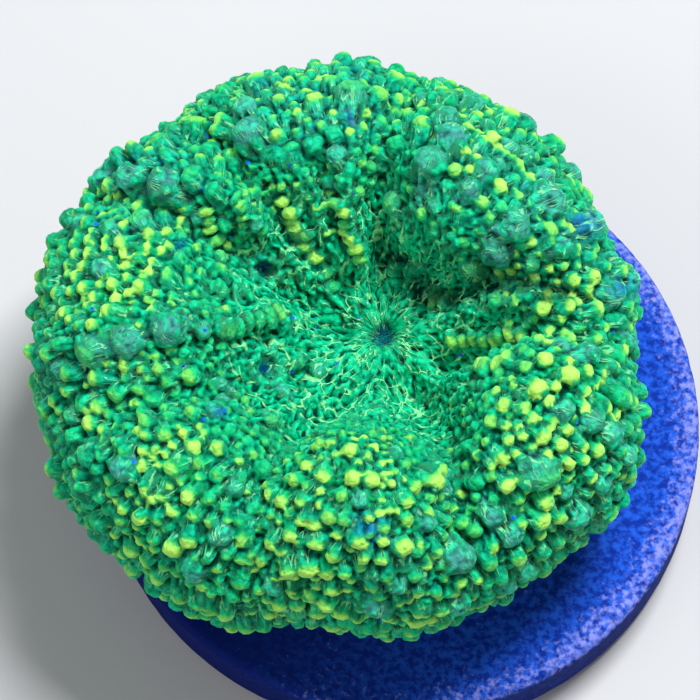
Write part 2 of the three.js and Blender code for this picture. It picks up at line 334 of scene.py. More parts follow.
@dataclass(frozen=True)
class Flesh:
    """The polyp's bare form: a section turned about the mouth, with lobes, grooves and pits."""

    section: tuple[Place, ...] = (
        (0, 8.6),
        (3.6, 9.6),
        (7.4, 12.8),
        (11.2, 15.4),
        (14.6, 15.0),
        (16.8, 12.6),
        (17.3, 9.2),
        (16.1, 5.6),
        (13.8, 2.4),
        (12.4, 0),
    )
    wall: int = 5  # the section's corner at the top of its wall
    mouth: Place = MOUTH
    settles_at: float = 0.42  # share of the half turn where the section is centred again
    foot_turn: float = 0.86  # share of the half turn that the section takes
    fades: Pair = (0.6, 0.8)  # shares of the half turn over which the relief dies away
    rim_fades: Pair = (0.34, 0.5)  # shares of the half turn over which grooves grow shallow
    rim_share: float = 0.2  # of a groove's depth that is left at the rim
    reach_way: float = math.radians(215)  # towards which the form reaches furthest
    reach_more: float = 0.035

    def reach(self, around: np.ndarray) -> np.ndarray:
        """How far the form reaches in a direction, of its section.

        Args:
            around: the direction's angle in plan.

        Returns:
            A factor near 1 for each.
        """
        factor = 1 + self.reach_more * np.cos(around - self.reach_way)
        for notch in NOTCHES:
            away = np.angle(np.exp(1j * (around - math.radians(notch.way))))
            factor -= notch.depth * np.exp(-((away / math.radians(notch.width)) ** 2))
        return factor

    def turn(self, directions: np.ndarray) -> np.ndarray:
        """Share of the half turn from the mouth, straight up, to the base, straight down."""
        return np.arccos(np.clip(directions[:, 2], -1, 1)) / math.pi

    def section_at(self, share: np.ndarray) -> tuple[np.ndarray, np.ndarray]:
        """The section's points and directions.

        Args:
            share: how far along the section, from 0 to 1.

        Returns:
            Points as radius and height, and the unit directions along the section there.
        """
        points = np.array(self.section)
        last = len(points) - 1
        along = np.clip(share, 0, 1) * last
        start = np.minimum(np.floor(along).astype(int), last - 1)
        t = (along - start)[:, None]
        before, a, b, after = (points[np.clip(start + step, 0, last)] for step in (-1, 0, 1, 2))
        slope_a = (b - before) / 2
        slope_b = (after - a) / 2
        cubic = 2 * a - 2 * b + slope_a + slope_b
        square = -3 * a + 3 * b - 2 * slope_a - slope_b
        at = cubic * t**3 + square * t**2 + slope_a * t + a
        return at, unit(3 * cubic * t**2 + 2 * square * t + slope_a)

    def relief(self, plan: np.ndarray, turn: np.ndarray) -> np.ndarray:
        """How far lobes lift the flesh and grooves and pits cut it.

        Args:
            plan: places in plan, one row of two each.
            turn: their shares of the half turn.

        Returns:
            Millimetres along the section's normal.
        """
        lift = np.zeros(len(plan))
        for lobe in LOBES:
            away = np.hypot(plan[:, 0] - lobe.x, plan[:, 1] - lobe.y) / lobe.spread
            lift += lobe.rise * np.exp(-(away**2) / 2)
        for ridge in RIDGES:
            away = distance_to_way(plan, ridge.way) / ridge.width
            lift += ridge.rise * np.exp(-(away**2))
        cut = np.zeros(len(plan))
        for groove in GROOVES:
            away = distance_to_way(plan, groove.way) / groove.width
            cut = np.maximum(cut, groove.depth * np.exp(-(away**2)))
        cut *= 1 - (1 - self.rim_share) * smoothstep(turn, *self.rim_fades)
        for pit in PITS:
            away = np.hypot(plan[:, 0] - pit.x, plan[:, 1] - pit.y) / pit.width
            cut += pit.depth * np.exp(-(away**2))
        return (lift - cut) * (1 - smoothstep(turn, *self.fades))

    def surface(self, directions: np.ndarray) -> np.ndarray:
        """The flesh's points.

        Args:
            directions: unit directions, one row of three each.

        Returns:
            A point for each direction.
        """
        turn = self.turn(directions)
        share = turn / self.foot_turn
        at, along = self.section_at(share)
        plan = self.plan(directions)
        lift = np.where(share > 1, 0, self.relief(plan, turn))
        height = np.where(share > 1, 0, at[:, 1] + along[:, 0] * lift)
        plan -= self.outwards(directions) * (along[:, 1] * lift)[:, None]
        return np.column_stack((plan, height))

    def outwards(self, directions: np.ndarray) -> np.ndarray:
        """The way outwards in plan along each direction."""
        around = np.arctan2(directions[:, 1], directions[:, 0])
        return np.stack((np.cos(around), np.sin(around)), axis=1)

    def plan(self, directions: np.ndarray) -> np.ndarray:
        """Places in plan before lobes, grooves and pits move them.

        Args:
            directions: unit directions, one row of three each.

        Returns:
            One row of two for each direction.
        """
        turn = self.turn(directions)
        share = turn / self.foot_turn
        base = self.section[-1][0] * (1 - turn) / (1 - self.foot_turn)
        radius = np.where(share > 1, base, self.section_at(share)[0][:, 0])
        radius *= self.reach(np.arctan2(directions[:, 1], directions[:, 0]))
        settle = 1 - smoothstep(turn, 0, self.settles_at)
        return np.array(self.mouth) * settle[:, None] + self.outwards(directions) * radius[:, None]


def distance_to_way(plan: np.ndarray, way: tuple[Place, ...]) -> np.ndarray:
    """Distance in plan from points to a way of straight stretches.

    Args:
        plan: places, one row of two each.
        way: the way's corners.

    Returns:
        One distance for each place.
    """
    shortest = np.full(len(plan), np.inf)
    for start, end in zip(way, way[1:]):
        along = np.subtract(end, start)
        share = np.clip((plan - start) @ along / (along @ along), 0, 1)
        nearest = start + share[:, None] * along
        shortest = np.minimum(shortest, np.linalg.norm(plan - nearest, axis=1))
    return shortest


class Kind(Enum):
    """What grows on the flesh."""

    KNOB = "knob"
    BLISTER = "blister"
    PLATE = "plate"
    BEAD = "bead"
    FIN = "fin"


@dataclass(frozen=True)
class Habit:
    """How growths of one kind vary: a pair is the least and the most that is drawn."""

    rounds: int  # how finely a body is divided
    thickness: Pair  # of the radius, or of the step between two plates
    length: Pair  # of the radius, or of a plate's width
    sunk: float  # share of the length below the foot
    lumps: float
    width: Pair = (1.0, 1.0)
    root: Pair = (0.6, 0.6)  # how wide its buried end is, of the tip
    flutes: tuple[int, int] = (6, 7)
    flute_depth: Pair = (0.0, 0.0)


HABITS = {
    Kind.KNOB: Habit(
        rounds=3,
        thickness=(0.65, 0.85),
        length=(0.85, 1.2),
        sunk=0.52,
        lumps=0.34,
        width=(0.7, 1.0),
        root=(1.2, 1.8),
        flutes=(4, 8),
        flute_depth=(0.12, 0.3),
    ),
    Kind.BLISTER: Habit(
        rounds=5,
        thickness=(0.6, 0.75),
        length=(2.6, 3.4),
        sunk=0.62,
        lumps=0.36,
        width=(0.7, 0.95),
        root=(0.95, 1.15),
        flutes=(6, 11),
        flute_depth=(0.1, 0.22),
    ),
    Kind.PLATE: Habit(
        rounds=4,
        thickness=(0.42, 0.52),
        length=(1.7, 2.2),
        sunk=0.36,
        lumps=0.1,
        width=(0.75, 1.15),
    ),
    Kind.BEAD: Habit(
        rounds=2,
        thickness=(0.9, 1.5),
        length=(1.8, 2.6),
        sunk=0.5,
        lumps=0.25,
    ),
    Kind.FIN: Habit(
        rounds=3,
        thickness=(0.45, 0.65),
        length=(1.8, 2.4),
        sunk=0.5,
        lumps=0.3,
        width=(1.6, 2.6),
    ),
}

OWNER_NEIGHBOURS = 6
OWNER_MIDDLE = 0.3  # where a growth is looked for, of its length behind the tip
BULKY_RADIUS = 0.7  # mm, above which a growth is tried for every point
LUMP_SCALE = 1.6
LUMP_SHIFT = 7.3


@dataclass
class Growth:
    """One rounded body on the flesh.

    Its axis runs from a buried end to its tip, and it is wide and thick across that.
    """

    kind: Kind
    foot: np.ndarray
    axis: np.ndarray
    side: np.ndarray
    width: float
    thickness: float
    length: float
    sunk: float  # share of the length below the foot
    lumps: float
    cap: float  # how strongly its tip is coloured
    root: float = 0.6  # how wide its buried end is, of the tip
    flutes: int = 6
    flute_depth: float = 0.0
    turned: float = 0.0

    def radius(self) -> float:
        """The round tip's radius."""
        return min(self.width, self.thickness)

    def head(self) -> np.ndarray:
        """The middle of the round tip."""
        return self.foot + self.axis * (self.length * (1 - self.sunk) - self.radius())


def ball(rounds: int) -> tuple[np.ndarray, np.ndarray]:
    """An even ball of triangles.

    Args:
        rounds: how often it is divided.

    Returns:
        Its unit vertices and its triangles.
    """
    shape = bmesh.new()
    bmesh.ops.create_icosphere(shape, subdivisions=rounds, radius=1)
    shape.verts.index_update()
    vertices = unit(np.array([vertex.co for vertex in shape.verts]))
    faces = np.array([[vertex.index for vertex in face.verts] for face in shape.faces])
    shape.free()
    return vertices, faces


def blobs(growths: list[Growth], rounds: int) -> tuple[np.ndarray, np.ndarray]:
    """The closed bodies of growths of one kind.

    Args:
        growths: what grows.
        rounds: how finely each body is divided.

    Returns:
        All their vertices and triangles.
    """
    template, faces = ball(rounds)
    back = np.maximum(-template[:, 2], 0)
    around = np.arctan2(template[:, 1], template[:, 0])
    vertices = np.empty((len(growths), len(template), 3))
    feet = np.array([growth.foot for growth in growths])[:, None]
    places = template * LUMP_SCALE + feet * LUMP_SHIFT
    lumps = noise(places.reshape(-1, 3), Seed.GROWTHS).reshape(len(growths), -1)
    for row, growth, lump in zip(vertices, growths, lumps):
        waves = np.cos(growth.flutes * around + growth.turned)
        spread = (1 - (1 - growth.root) * back) * (1 + growth.flute_depth * waves * np.sqrt(back))
        spread *= 1 + growth.lumps * lump
        other = np.cross(growth.axis, growth.side)
        behind = growth.length - growth.radius()
        rise = np.where(back > 0, -back * behind, template[:, 2] * growth.radius())
        row[:] = growth.head() + rise[:, None] * growth.axis
        row += (growth.width * spread * template[:, 0])[:, None] * growth.side
        row += (growth.thickness * spread * template[:, 1])[:, None] * other
    steps = np.arange(len(growths)) * len(template)
    return vertices.reshape(-1, 3), (faces[None] + steps[:, None, None]).reshape(-1, 3)


def mesh_of(name: str, vertices: np.ndarray, faces: np.ndarray) -> bpy.types.Mesh:
    """A mesh of triangles.

    Args:
        name: the mesh's name.
        vertices: its points.
        faces: triples of places in that list.

    Returns:
        The mesh.
    """
    mesh = bpy.data.meshes.new(name)
    mesh.vertices.add(len(vertices))
    mesh.vertices.foreach_set("co", np.ascontiguousarray(vertices, np.float32).ravel())
    mesh.loops.add(faces.size)
    mesh.loops.foreach_set("vertex_index", faces.astype(np.int32).ravel())
    mesh.polygons.add(len(faces))
    mesh.polygons.foreach_set("loop_start", np.arange(0, faces.size, 3, dtype=np.int32))
    mesh.update(calc_edges=True)
    return mesh


def numbers_of(
    items: bpy.types.bpy_prop_collection, name: str, width: int, kind: type
) -> np.ndarray:
    """What a mesh keeps for each of its vertices or edges.

    Args:
        items: the vertices, their normals or the edges.
        name: the property that is read.
        width: how many numbers each has.
        kind: the type of those numbers.

    Returns:
        One row for each.
    """
    flat = np.empty(len(items) * width, kind)
    items.foreach_get(name, flat)
    return flat.reshape(-1, width)


def points_of(mesh: bpy.types.Mesh) -> np.ndarray:
    """A mesh's vertices, one row of three each."""
    return numbers_of(mesh.vertices, "co", 3, np.float32).astype(float)


def normals_of(mesh: bpy.types.Mesh) -> np.ndarray:
    """A mesh's vertex normals, one row of three each."""
    return numbers_of(mesh.vertex_normals, "vector", 3, np.float32).astype(float)


def triangles_of(mesh: bpy.types.Mesh) -> int:
    """How many triangles a mesh has."""
    mesh.calc_loop_triangles()
    return len(mesh.loop_triangles)


def edges_of(mesh: bpy.types.Mesh) -> np.ndarray:
    """A mesh's edges as pairs of vertices."""
    return numbers_of(mesh.edges, "vertices", 2, np.int32)


def move_points(mesh: bpy.types.Mesh, points: np.ndarray) -> None:
    """Put a mesh's vertices at new places."""
    mesh.vertices.foreach_set("co", np.ascontiguousarray(points, np.float32).ravel())
    mesh.update()


def smooth_faces(mesh: bpy.types.Mesh) -> None:
    """Shade a mesh's faces as one smooth skin."""
    mesh.polygons.foreach_set("use_smooth", np.ones(len(mesh.polygons), bool))


def paint(mesh: bpy.types.Mesh, name: str, values: np.ndarray) -> None:
    """Keep a number for each vertex of the mesh under a name."""
    attribute = mesh.attributes.new(name, "FLOAT", "POINT")
    attribute.data.foreach_set("value", np.ascontiguousarray(values, np.float32))


def relaxed(points: np.ndarray, edges: np.ndarray, rounds: int) -> np.ndarray:
    """Points drawn towards the middle of their neighbours.

    Args:
        points: the points.
        edges: pairs of neighbours.
        rounds: how often they are drawn.

    Returns:
        The smoother points.
    """
    count = len(points)
    ends = np.concatenate((edges[:, 0], edges[:, 1]))
    others = np.concatenate((edges[:, 1], edges[:, 0]))
    neighbours = np.maximum(np.bincount(ends, minlength=count), 1)
    moved = points
    for _ in range(rounds):
        sums = [np.bincount(ends, moved[others, axis], count) for axis in range(3)]
        moved = (moved + np.stack(sums, axis=1) / neighbours[:, None]) / 2
    return moved


def with_modifier(mesh: bpy.types.Mesh, kind: str, **settings: object) -> bpy.types.Mesh:
    """A new mesh made from another by one modifier.

    Args:
        mesh: the mesh to start from, which is dropped.
        kind: the modifier's type.
        settings: its properties.

    Returns:
        The changed mesh.
    """
    helper = bpy.data.objects.new("helper", mesh)
    bpy.context.scene.collection.objects.link(helper)
    modifier = helper.modifiers.new(kind.lower(), kind)
    for name, value in settings.items():
        setattr(modifier, name, value)
    graph = bpy.context.evaluated_depsgraph_get()
    changed = bpy.data.meshes.new_from_object(helper.evaluated_get(graph))
    bpy.data.objects.remove(helper)
    bpy.data.meshes.remove(mesh)
    return changed


def keep_outer_skin(mesh: bpy.types.Mesh) -> None:
    """Drop what isn't joined to the mesh's highest point, such as closed bubbles inside it.

    Args:
        mesh: the mesh, which is changed.
    """
    skin = bmesh.new()
    skin.from_mesh(mesh)
    front = [max(skin.verts, key=lambda vertex: vertex.co.z)]
    reached = set(front)
    while front:
        vertex = front.pop()
        for edge in vertex.link_edges:
            other = edge.other_vert(vertex)
            if other not in reached:
                reached.add(other)
                front.append(other)
    stray = [vertex for vertex in skin.verts if vertex not in reached]
    bmesh.ops.delete(skin, geom=stray, context="VERTS")
    skin.to_mesh(mesh)
    skin.free()


def tree_of(points: np.ndarray) -> KDTree:
    """A tree that finds the nearest of the points.

    Args:
        points: the points, one row of three each.

    Returns:
        The tree, which gives places in that list.
    """
    tree = KDTree(len(points))
    for index, point in enumerate(points):
        tree.insert(point, index)
    tree.balance()
    return tree


class Owners:
    """Which growth each point of the skin belongs to, and where on it the point lies."""

    def __init__(self, growths: list[Growth], points: np.ndarray) -> None:
        """Find the owners.

        Args:
            growths: what grows on the flesh.
            points: the skin's points.
        """
        self.points = points
        self.heads = np.array([growth.head() for growth in growths])
        self.axes = np.array([growth.axis for growth in growths])
        self.sides = np.array([growth.side for growth in growths])
        self.radii = np.array([(growth.width + growth.thickness) / 2 for growth in growths])
        self.behind = np.array([growth.length - growth.radius() for growth in growths])
        self.roots = np.array([growth.root for growth in growths])
        tree = tree_of(self.heads - self.axes * (OWNER_MIDDLE * self.behind)[:, None])
        found = (tree.find_n(point, OWNER_NEIGHBOURS) for point in points)
        near = np.array([[index for _, index, _ in hits] for hits in found])
        bulky = [np.full(len(points), index) for index in np.flatnonzero(self.radii > BULKY_RADIUS)]
        self.gap = np.full(len(points), np.inf)
        self.index = np.zeros(len(points), int)
        for tried in (*near.T, *bulky):
            gap = self.gaps(tried)
            closer = gap < self.gap
            self.gap[closer] = gap[closer]
            self.index[closer] = tried[closer]
        away = points - self.heads[self.index]
        axes = self.axes[self.index]
        self.along = np.einsum("ij,ij->i", away, axes)
        sides = self.sides[self.index]
        across = np.einsum("ij,ij->i", away, sides)
        upwards = np.einsum("ij,ij->i", away, np.cross(axes, sides))
        self.around = np.arctan2(across, upwards)
        self.radius = self.radii[self.index]

    def gaps(self, tried: np.ndarray) -> np.ndarray:
        """How far each point lies outside a growth.

        Args:
            tried: the growth that is tried for each point.

        Returns:
            Millimetres, below 0 inside.
        """
        away = self.points - self.heads[tried]
        along = np.einsum("ij,ij->i", away, self.axes[tried])
        along = np.clip(along, -self.behind[tried], 0)
        aside = np.linalg.norm(away - along[:, None] * self.axes[tried], axis=1)
        taper = 1 + (1 - self.roots[tried]) * along / self.behind[tried]
        return aside - self.radii[tried] * taper


MIX_UNDER = 6  # the colour mixer's sockets, which share their names with its other sockets
MIX_OVER = 7
MIX_RESULT = 2


class Shader:
    """A short hand for a material's nodes."""

    def __init__(self, name: str) -> None:
        """Start a material with a principled shader.

        Args:
            name: the material's name.
        """
        self.material = bpy.data.materials.new(name)
        self.material.use_nodes = True
        self.tree = self.material.node_tree
        self.surface = self.tree.nodes["Principled BSDF"]

    def node(self, kind: str, inputs: dict[str, object], **settings: object) -> bpy.types.Node:
        """Add a node.

        Args:
            kind: the node's type, without its ShaderNode prefix.
            inputs: values or sockets for its inputs, by name.
            settings: its properties.

        Returns:
            The node.
        """
        node = self.tree.nodes.new("ShaderNode" + kind)
        for name, value in settings.items():
            setattr(node, name, value)
        for name, value in inputs.items():
            self.set(node.inputs[name], value)
        return node

    def set(self, socket: bpy.types.NodeSocket, value: object) -> None:
        """Give an input a value, a colour or another node's output."""
        if isinstance(value, bpy.types.NodeSocket):
            self.tree.links.new(value, socket)
        elif isinstance(value, tuple) and socket.type == "RGBA":
            socket.default_value = (*value, 1.0)
        else:
            socket.default_value = value

    def attribute(self, name: str) -> bpy.types.NodeSocket:
        """The mesh's own number of that name."""
        return self.node("Attribute", {}, attribute_name=name).outputs["Fac"]

    def coordinates(self) -> bpy.types.NodeSocket:
        """Places on the object, in metres."""
        return self.node("TexCoord", {}).outputs["Object"]

    def grain(
        self, size: float, detail: float = 2.0, roughness: float = 0.5
    ) -> bpy.types.NodeSocket:
        """Noise from 0 to 1.

        Args:
            size: millimetres across its features.
            detail: how many finer layers it has.
            roughness: how strong those are.

        Returns:
            The noise's value.
        """
        inputs = {
            "Vector": self.coordinates(),
            "Scale": 1 / (size * MM),
            "Detail": detail,
            "Roughness": roughness,
        }
        return self.node("TexNoise", inputs).outputs["Fac"]

    def eased(
        self, value: object, low: float, high: float, top: float = 1.0
    ) -> bpy.types.NodeSocket:
        """A value eased from 0 at low to top at high.

        Args:
            value: the socket to ease.
            low: where the ease starts.
            high: where it ends.
            top: the result there.

        Returns:
            The eased value.
        """
        inputs = {"Value": value, "From Min": low, "From Max": high, "To Min": 0.0, "To Max": top}
        return self.node("MapRange", inputs, interpolation_type="SMOOTHSTEP").outputs["Result"]

    def maths(self, operation: str, *values: object) -> bpy.types.NodeSocket:
        """The result of a sum.

        Args:
            operation: the sum's name.
            values: what goes into it, in order.

        Returns:
            The result.
        """
        node = self.node("Math", {}, operation=operation)
        for socket, value in zip(node.inputs, values):
            self.set(socket, value)
        return node.outputs[0]

    def mixed(self, under: object, over: object, share: object) -> bpy.types.NodeSocket:
        """One colour laid over another.

        Args:
            under: the colour below.
            over: the colour above.
            share: how far it covers.

        Returns:
            The mixed colour.
        """
        node = self.node("Mix", {}, data_type="RGBA")
        self.set(node.inputs["Factor"], share)
        self.set(node.inputs[MIX_UNDER], under)
        self.set(node.inputs[MIX_OVER], over)
        return node.outputs[MIX_RESULT]

    def layered(
        self, under: object, layers: tuple[tuple[object, object], ...]
    ) -> bpy.types.NodeSocket:
        """Colours laid over one another in order.

        Args:
            under: the lowest colour.
            layers: each colour above it, and how far it covers.

        Returns:
            The mixed colour.
        """
        for over, share in layers:
            under = self.mixed(under, over, share)
        return under

    def roughen(self, grain: object, low: float, high: float) -> None:
        """Make the surface rougher where a grain is high.

        Args:
            grain: a value from 0 to 1.
            low: the roughness at 0.
            high: the roughness at 1.
        """
        spread = self.node("MapRange", {"Value": grain, "To Min": low, "To Max": high})
        self.set(self.surface.inputs["Roughness"], spread.outputs["Result"])

    def bump(self, height: object, depth: float, strength: float) -> None:
        """Raise the surface by a height, as fine relief.

        Args:
            height: the height's socket.
            depth: millimetres from low to high.
            strength: how strongly it shows.
        """
        inputs = {"Height": height, "Distance": depth * MM, "Strength": strength}
        self.set(self.surface.inputs["Normal"], self.node("Bump", inputs).outputs["Normal"])


@dataclass(frozen=True)
class FleshFinish:
    """The coral's glowing green flesh."""

    green: Colour = (0.0012, 0.27, 0.105)
    sea_green: Colour = (0.001, 0.185, 0.13)
    cool: Colour = (0.010, 0.27, 0.265)
    warm: Colour = (0.006, 0.36, 0.06)
    bare: Colour = (0.0015, 0.30, 0.125)
    # The bowl's paler flesh: partly its own colour, partly painted light against the shade it lies
    # in.
    bowl: Colour = (0.001, 0.36, 0.15)
    # Near black, painted as shade into the creases, the gaps between papillae and the furrows.
    crease_shade: Colour = (0.0002, 0.022, 0.016)
    # Painted highlight on sharp ridges and on the flanks of growths, and the side mouths' pale
    # lips.
    mint: Colour = (0.012, 0.66, 0.34)
    # Painted highlight: the pale lines on the crests of the fine wrinkles, which the bump also
    # raises.
    rim: Colour = (0.26, 0.88, 0.36)
    bladder: Colour = (0.055, 0.25, 0.25)
    leaf: Colour = (0.012, 0.45, 0.10)
    cap: Colour = (0.37, 0.76, 0.12)
    blue_shade: Colour = (0.005, 0.105, 0.42)
    mouth: Colour = (0.0006, 0.028, 0.12)
    speck: Colour = (0.01, 0.12, 0.95)
    patch: float = 3.5  # mm across, as are the next four
    fine: float = 0.3
    papilla: float = 0.42
    line_patch: float = 0.9
    speck_gap: float = 1.3
    fine_detail: float = 3.0
    own_share: float = 0.5  # how much a growth's own number counts in its mood
    mood: Pair = (0.45, 1.0)
    veil: float = 0.85  # how far cool flesh and bladders are coloured at most
    tip_grain: float = 0.4
    leaf_range: Pair = (0.12, 0.62)
    cap_range: Pair = (0.34, 0.95)
    # How far the gaps between papillae are darkened: painted shade.
    gap_range: Pair = (0.5, 0.85)
    gap_share: float = 0.5
    line_range: Pair = (0.02, 0.1)
    line_share: float = 0.9
    line_patch_range: Pair = (0.4, 0.6)
    # How far the furrows are darkened: painted shade, where the bump also sinks them.
    furrow_range: Pair = (0.56, 0.76)
    furrow_share: float = 0.4
    streak_detail: float = 1.0
    bend: float = 1.6  # how far the scales' edges are crumpled
    bend_scale: float = 0.7
    scale_scale: float = 0.62
    speck_radius: float = 0.10  # of the gap between two specks
    speck_odds: float = 0.8  # share of the specks that are left out
    speck_tip: float = 0.3  # tips coloured more than this bear none
    roughness: Pair = (0.45, 0.7)
    glow: float = 0.07
    sheen: float = 0.6
    sheen_roughness: float = 0.25
    sheen_tint: Colour = (0.02, 0.9, 0.46)
    specular: float = 0.15
    line_height: float = 1.2  # of the fine grain's
    bump_depth: float = 0.13  # mm
    bump_strength: float = 1.0

    def material(self) -> bpy.types.Material:
        """Lay the flesh's colours over one another, from the numbers painted on its mesh.

        Returns:
            The material.
        """
        shader = Shader("coral_flesh")
        fine = shader.grain(self.fine, detail=self.fine_detail)
        lines, furrows = self.flutes(shader)
        away = self.papillae(shader)
        gaps = shader.eased(away, *self.gap_range, self.gap_share)
        uneven = shader.maths("SUBTRACT", fine, GRAIN_MIDDLE)
        tip = shader.maths("MULTIPLY_ADD", uneven, self.tip_grain, shader.attribute("tip"))
        layers = (
            (self.leaf, shader.eased(tip, *self.leaf_range)),
            (self.cap, shader.eased(tip, *self.cap_range)),
            # Painted shade in the creases, between the papillae and in the furrows, then painted
            # highlight on the pale lines.
            (self.crease_shade, shader.attribute("crease_shade")),
            (self.crease_shade, shader.maths("MULTIPLY", gaps, self.off_tips(shader))),
            (self.crease_shade, furrows),
            (self.rim, lines),
            (self.mouth, shader.attribute("mouth")),
            (self.speck, self.specks(shader)),
        )
        colour = shader.layered(self.ground(shader), layers)
        surface = shader.surface.inputs
        shader.set(surface["Base Color"], colour)
        shader.set(surface["Emission Color"], colour)
        shader.set(surface["Emission Strength"], self.glow)
        shader.roughen(fine, *self.roughness)
        shader.set(surface["Sheen Weight"], self.sheen)
        shader.set(surface["Sheen Roughness"], self.sheen_roughness)
        shader.set(surface["Sheen Tint"], self.sheen_tint)
        shader.set(surface["Specular IOR Level"], self.specular)
        shader.set(surface["Specular Tint"], self.sheen_tint)
        height = shader.maths("MULTIPLY_ADD", lines, self.line_height, fine)
        height = shader.maths("SUBTRACT", height, furrows)
        height = shader.maths("SUBTRACT", height, away)
        shader.bump(height, self.bump_depth, self.bump_strength)
        return shader.material

    def ground(self, shader: Shader) -> bpy.types.NodeSocket:
        """The flesh's colour, with painted highlight and the bowl's painted light, under its tips,
        painted crease shade and highlight lines.

        Args:
            shader: the material's nodes.

        Returns:
            The colour.
        """
        own = shader.attribute("own")
        mood = shader.maths("MULTIPLY_ADD", own, self.own_share, shader.grain(self.patch))
        layers = (
            (self.sea_green, shader.eased(mood, *self.mood)),
            (self.cool, shader.eased(shader.attribute("cool"), 0.0, 1.0, self.veil)),
            (self.warm, shader.attribute("warm")),
            (self.bare, shader.attribute("bare")),
            # The bowl is painted paler: partly its own colour, partly painted light.
            (self.bowl, shader.attribute("bowl")),
            (self.bladder, shader.eased(shader.attribute("bladder"), 0.0, 1.0, self.veil)),
            # Painted highlight in mint on sharp ridges and on the flanks of growths, with the side
            # mouths' pale lips.
            (self.mint, shader.attribute("ridge")),
            (self.mint, shader.attribute("flank_highlight_and_lips")),
            (self.blue_shade, shader.attribute("blue")),
        )
        return shader.layered(self.green, layers)

    def flutes(self, shader: Shader) -> tuple[bpy.types.NodeSocket, bpy.types.NodeSocket]:
        """Fine pale lines of painted highlight and dark furrows of painted shade, along the growths
        and about them.

        Args:
            shader: the material's nodes.

        Returns:
            How strongly lines and furrows show.
        """
        way = shader.node("Attribute", {}, attribute_name="streak").outputs["Vector"]
        inputs = {"Vector": way, "Scale": 1.0, "Detail": self.streak_detail}
        along = shader.node("TexNoise", inputs).outputs["Fac"]
        shown = shader.maths("MULTIPLY", shader.attribute("net"), self.off_tips(shader))
        beside = shader.eased(self.scales(shader, way), *self.line_range, self.line_share)
        lines = shader.maths("SUBTRACT", self.line_share, beside)
        patches = shader.eased(shader.grain(self.line_patch), *self.line_patch_range)
        lines = shader.maths("MULTIPLY", lines, patches)
        furrows = shader.eased(along, *self.furrow_range, self.furrow_share)
        furrows = shader.maths("MULTIPLY", furrows, shown)
        return shader.maths("MULTIPLY", lines, shown), furrows

    @staticmethod
    def off_tips(shader: Shader) -> bpy.types.NodeSocket:
        """1 where no tip is coloured, less on the tips."""
        return shader.maths("SUBTRACT", 1.0, shader.attribute("tip"))

    def papillae(self, shader: Shader) -> bpy.types.NodeSocket:
        """Distance from the middles of the skin's tiny papillae."""
        inputs = {"Vector": shader.coordinates(), "Scale": 1 / (self.papilla * MM)}
        return shader.node("TexVoronoi", inputs).outputs["Distance"]

    def scales(self, shader: Shader, way: bpy.types.NodeSocket) -> bpy.types.NodeSocket:
        """Distance from the edges of small crumpled scales.

        Args:
            shader: the material's nodes.
            way: the coordinates along which the skin is fluted.

        Returns:
            The distance, in those coordinates.
        """
        inputs = {"Vector": way, "Scale": self.bend_scale, "Detail": self.streak_detail}
        bent = shader.node("TexNoise", inputs).outputs["Color"]
        shift = shader.node("VectorMath", {}, operation="MULTIPLY_ADD")
        shader.set(shift.inputs[0], bent)
        shader.set(shift.inputs[1], (self.bend, self.bend, self.bend))
        shader.set(shift.inputs[2], way)
        inputs = {"Vector": shift.outputs["Vector"], "Scale": self.scale_scale}
        return shader.node("TexVoronoi", inputs, feature="DISTANCE_TO_EDGE").outputs["Distance"]

    def specks(self, shader: Shader) -> bpy.types.NodeSocket:
        """Few and tiny spots, scattered over the flesh.

        Args:
            shader: the material's nodes.

        Returns:
            1 on a spot, 0 beside it.
        """
        inputs = {"Vector": shader.coordinates(), "Scale": 1 / (self.speck_gap * MM)}
        spots = shader.node("TexVoronoi", inputs)
        near = shader.maths("LESS_THAN", spots.outputs["Distance"], self.speck_radius)
        chosen = shader.node("SeparateColor", {"Color": spots.outputs["Color"]}).outputs["Red"]
        few = shader.maths("GREATER_THAN", chosen, self.speck_odds)
        low = shader.maths("LESS_THAN", shader.attribute("tip"), self.speck_tip)
        return shader.maths("MULTIPLY", shader.maths("MULTIPLY", near, few), low)


@dataclass(frozen=True)
class CeramicFinish:
    """Unglazed ceramic with a pale bloom."""

    body: Colour = (0.010, 0.085, 0.58)
    shade: Colour = (0.001, 0.022, 0.27)
    # Painted shade where the disc is less lit.
    dark: Colour = (0.0003, 0.008, 0.12)
    bloom: Colour = (0.20, 0.24, 0.70)
    blotch: float = 0.5  # mm across, as is the grain
    grain: float = 0.42
    grain_detail: float = 3.0
    grain_roughness: float = 0.6
    body_range: Pair = (0.38, 0.64)
    bloom_spread_share: float = 0.3
    bloom_range: Pair = (0.64, 0.98)
    roughness: Pair = (0.7, 0.95)
    specular: float = 0.1
    bump_depth: float = 0.12  # mm
    bump_strength: float = 0.7

    def material(self) -> bpy.types.Material:
        """Mottle the ceramic, paint its shade and lay its bloom.

        Returns:
            The material.
        """
        shader = Shader("raw_ceramic")
        blotches = shader.grain(self.blotch, self.grain_detail, self.grain_roughness)
        grains = shader.grain(self.grain, self.grain_detail, self.grain_roughness)
        colour = shader.mixed(self.shade, self.body, shader.eased(blotches, *self.body_range))
        # Painted shade: the disc is darker on its side and across its top away from one side.
        colour = shader.mixed(self.dark, colour, shader.attribute("lit"))
        bloom_spread = shader.maths("MULTIPLY_ADD", shader.attribute("bloom_spread"), self.bloom_spread_share, grains)
        colour = shader.mixed(colour, self.bloom, shader.eased(bloom_spread, *self.bloom_range))
        shader.set(shader.surface.inputs["Base Color"], colour)
        shader.roughen(grains, *self.roughness)
        shader.set(shader.surface.inputs["Specular IOR Level"], self.specular)
        shader.bump(grains, self.bump_depth, self.bump_strength)
        return shader.material


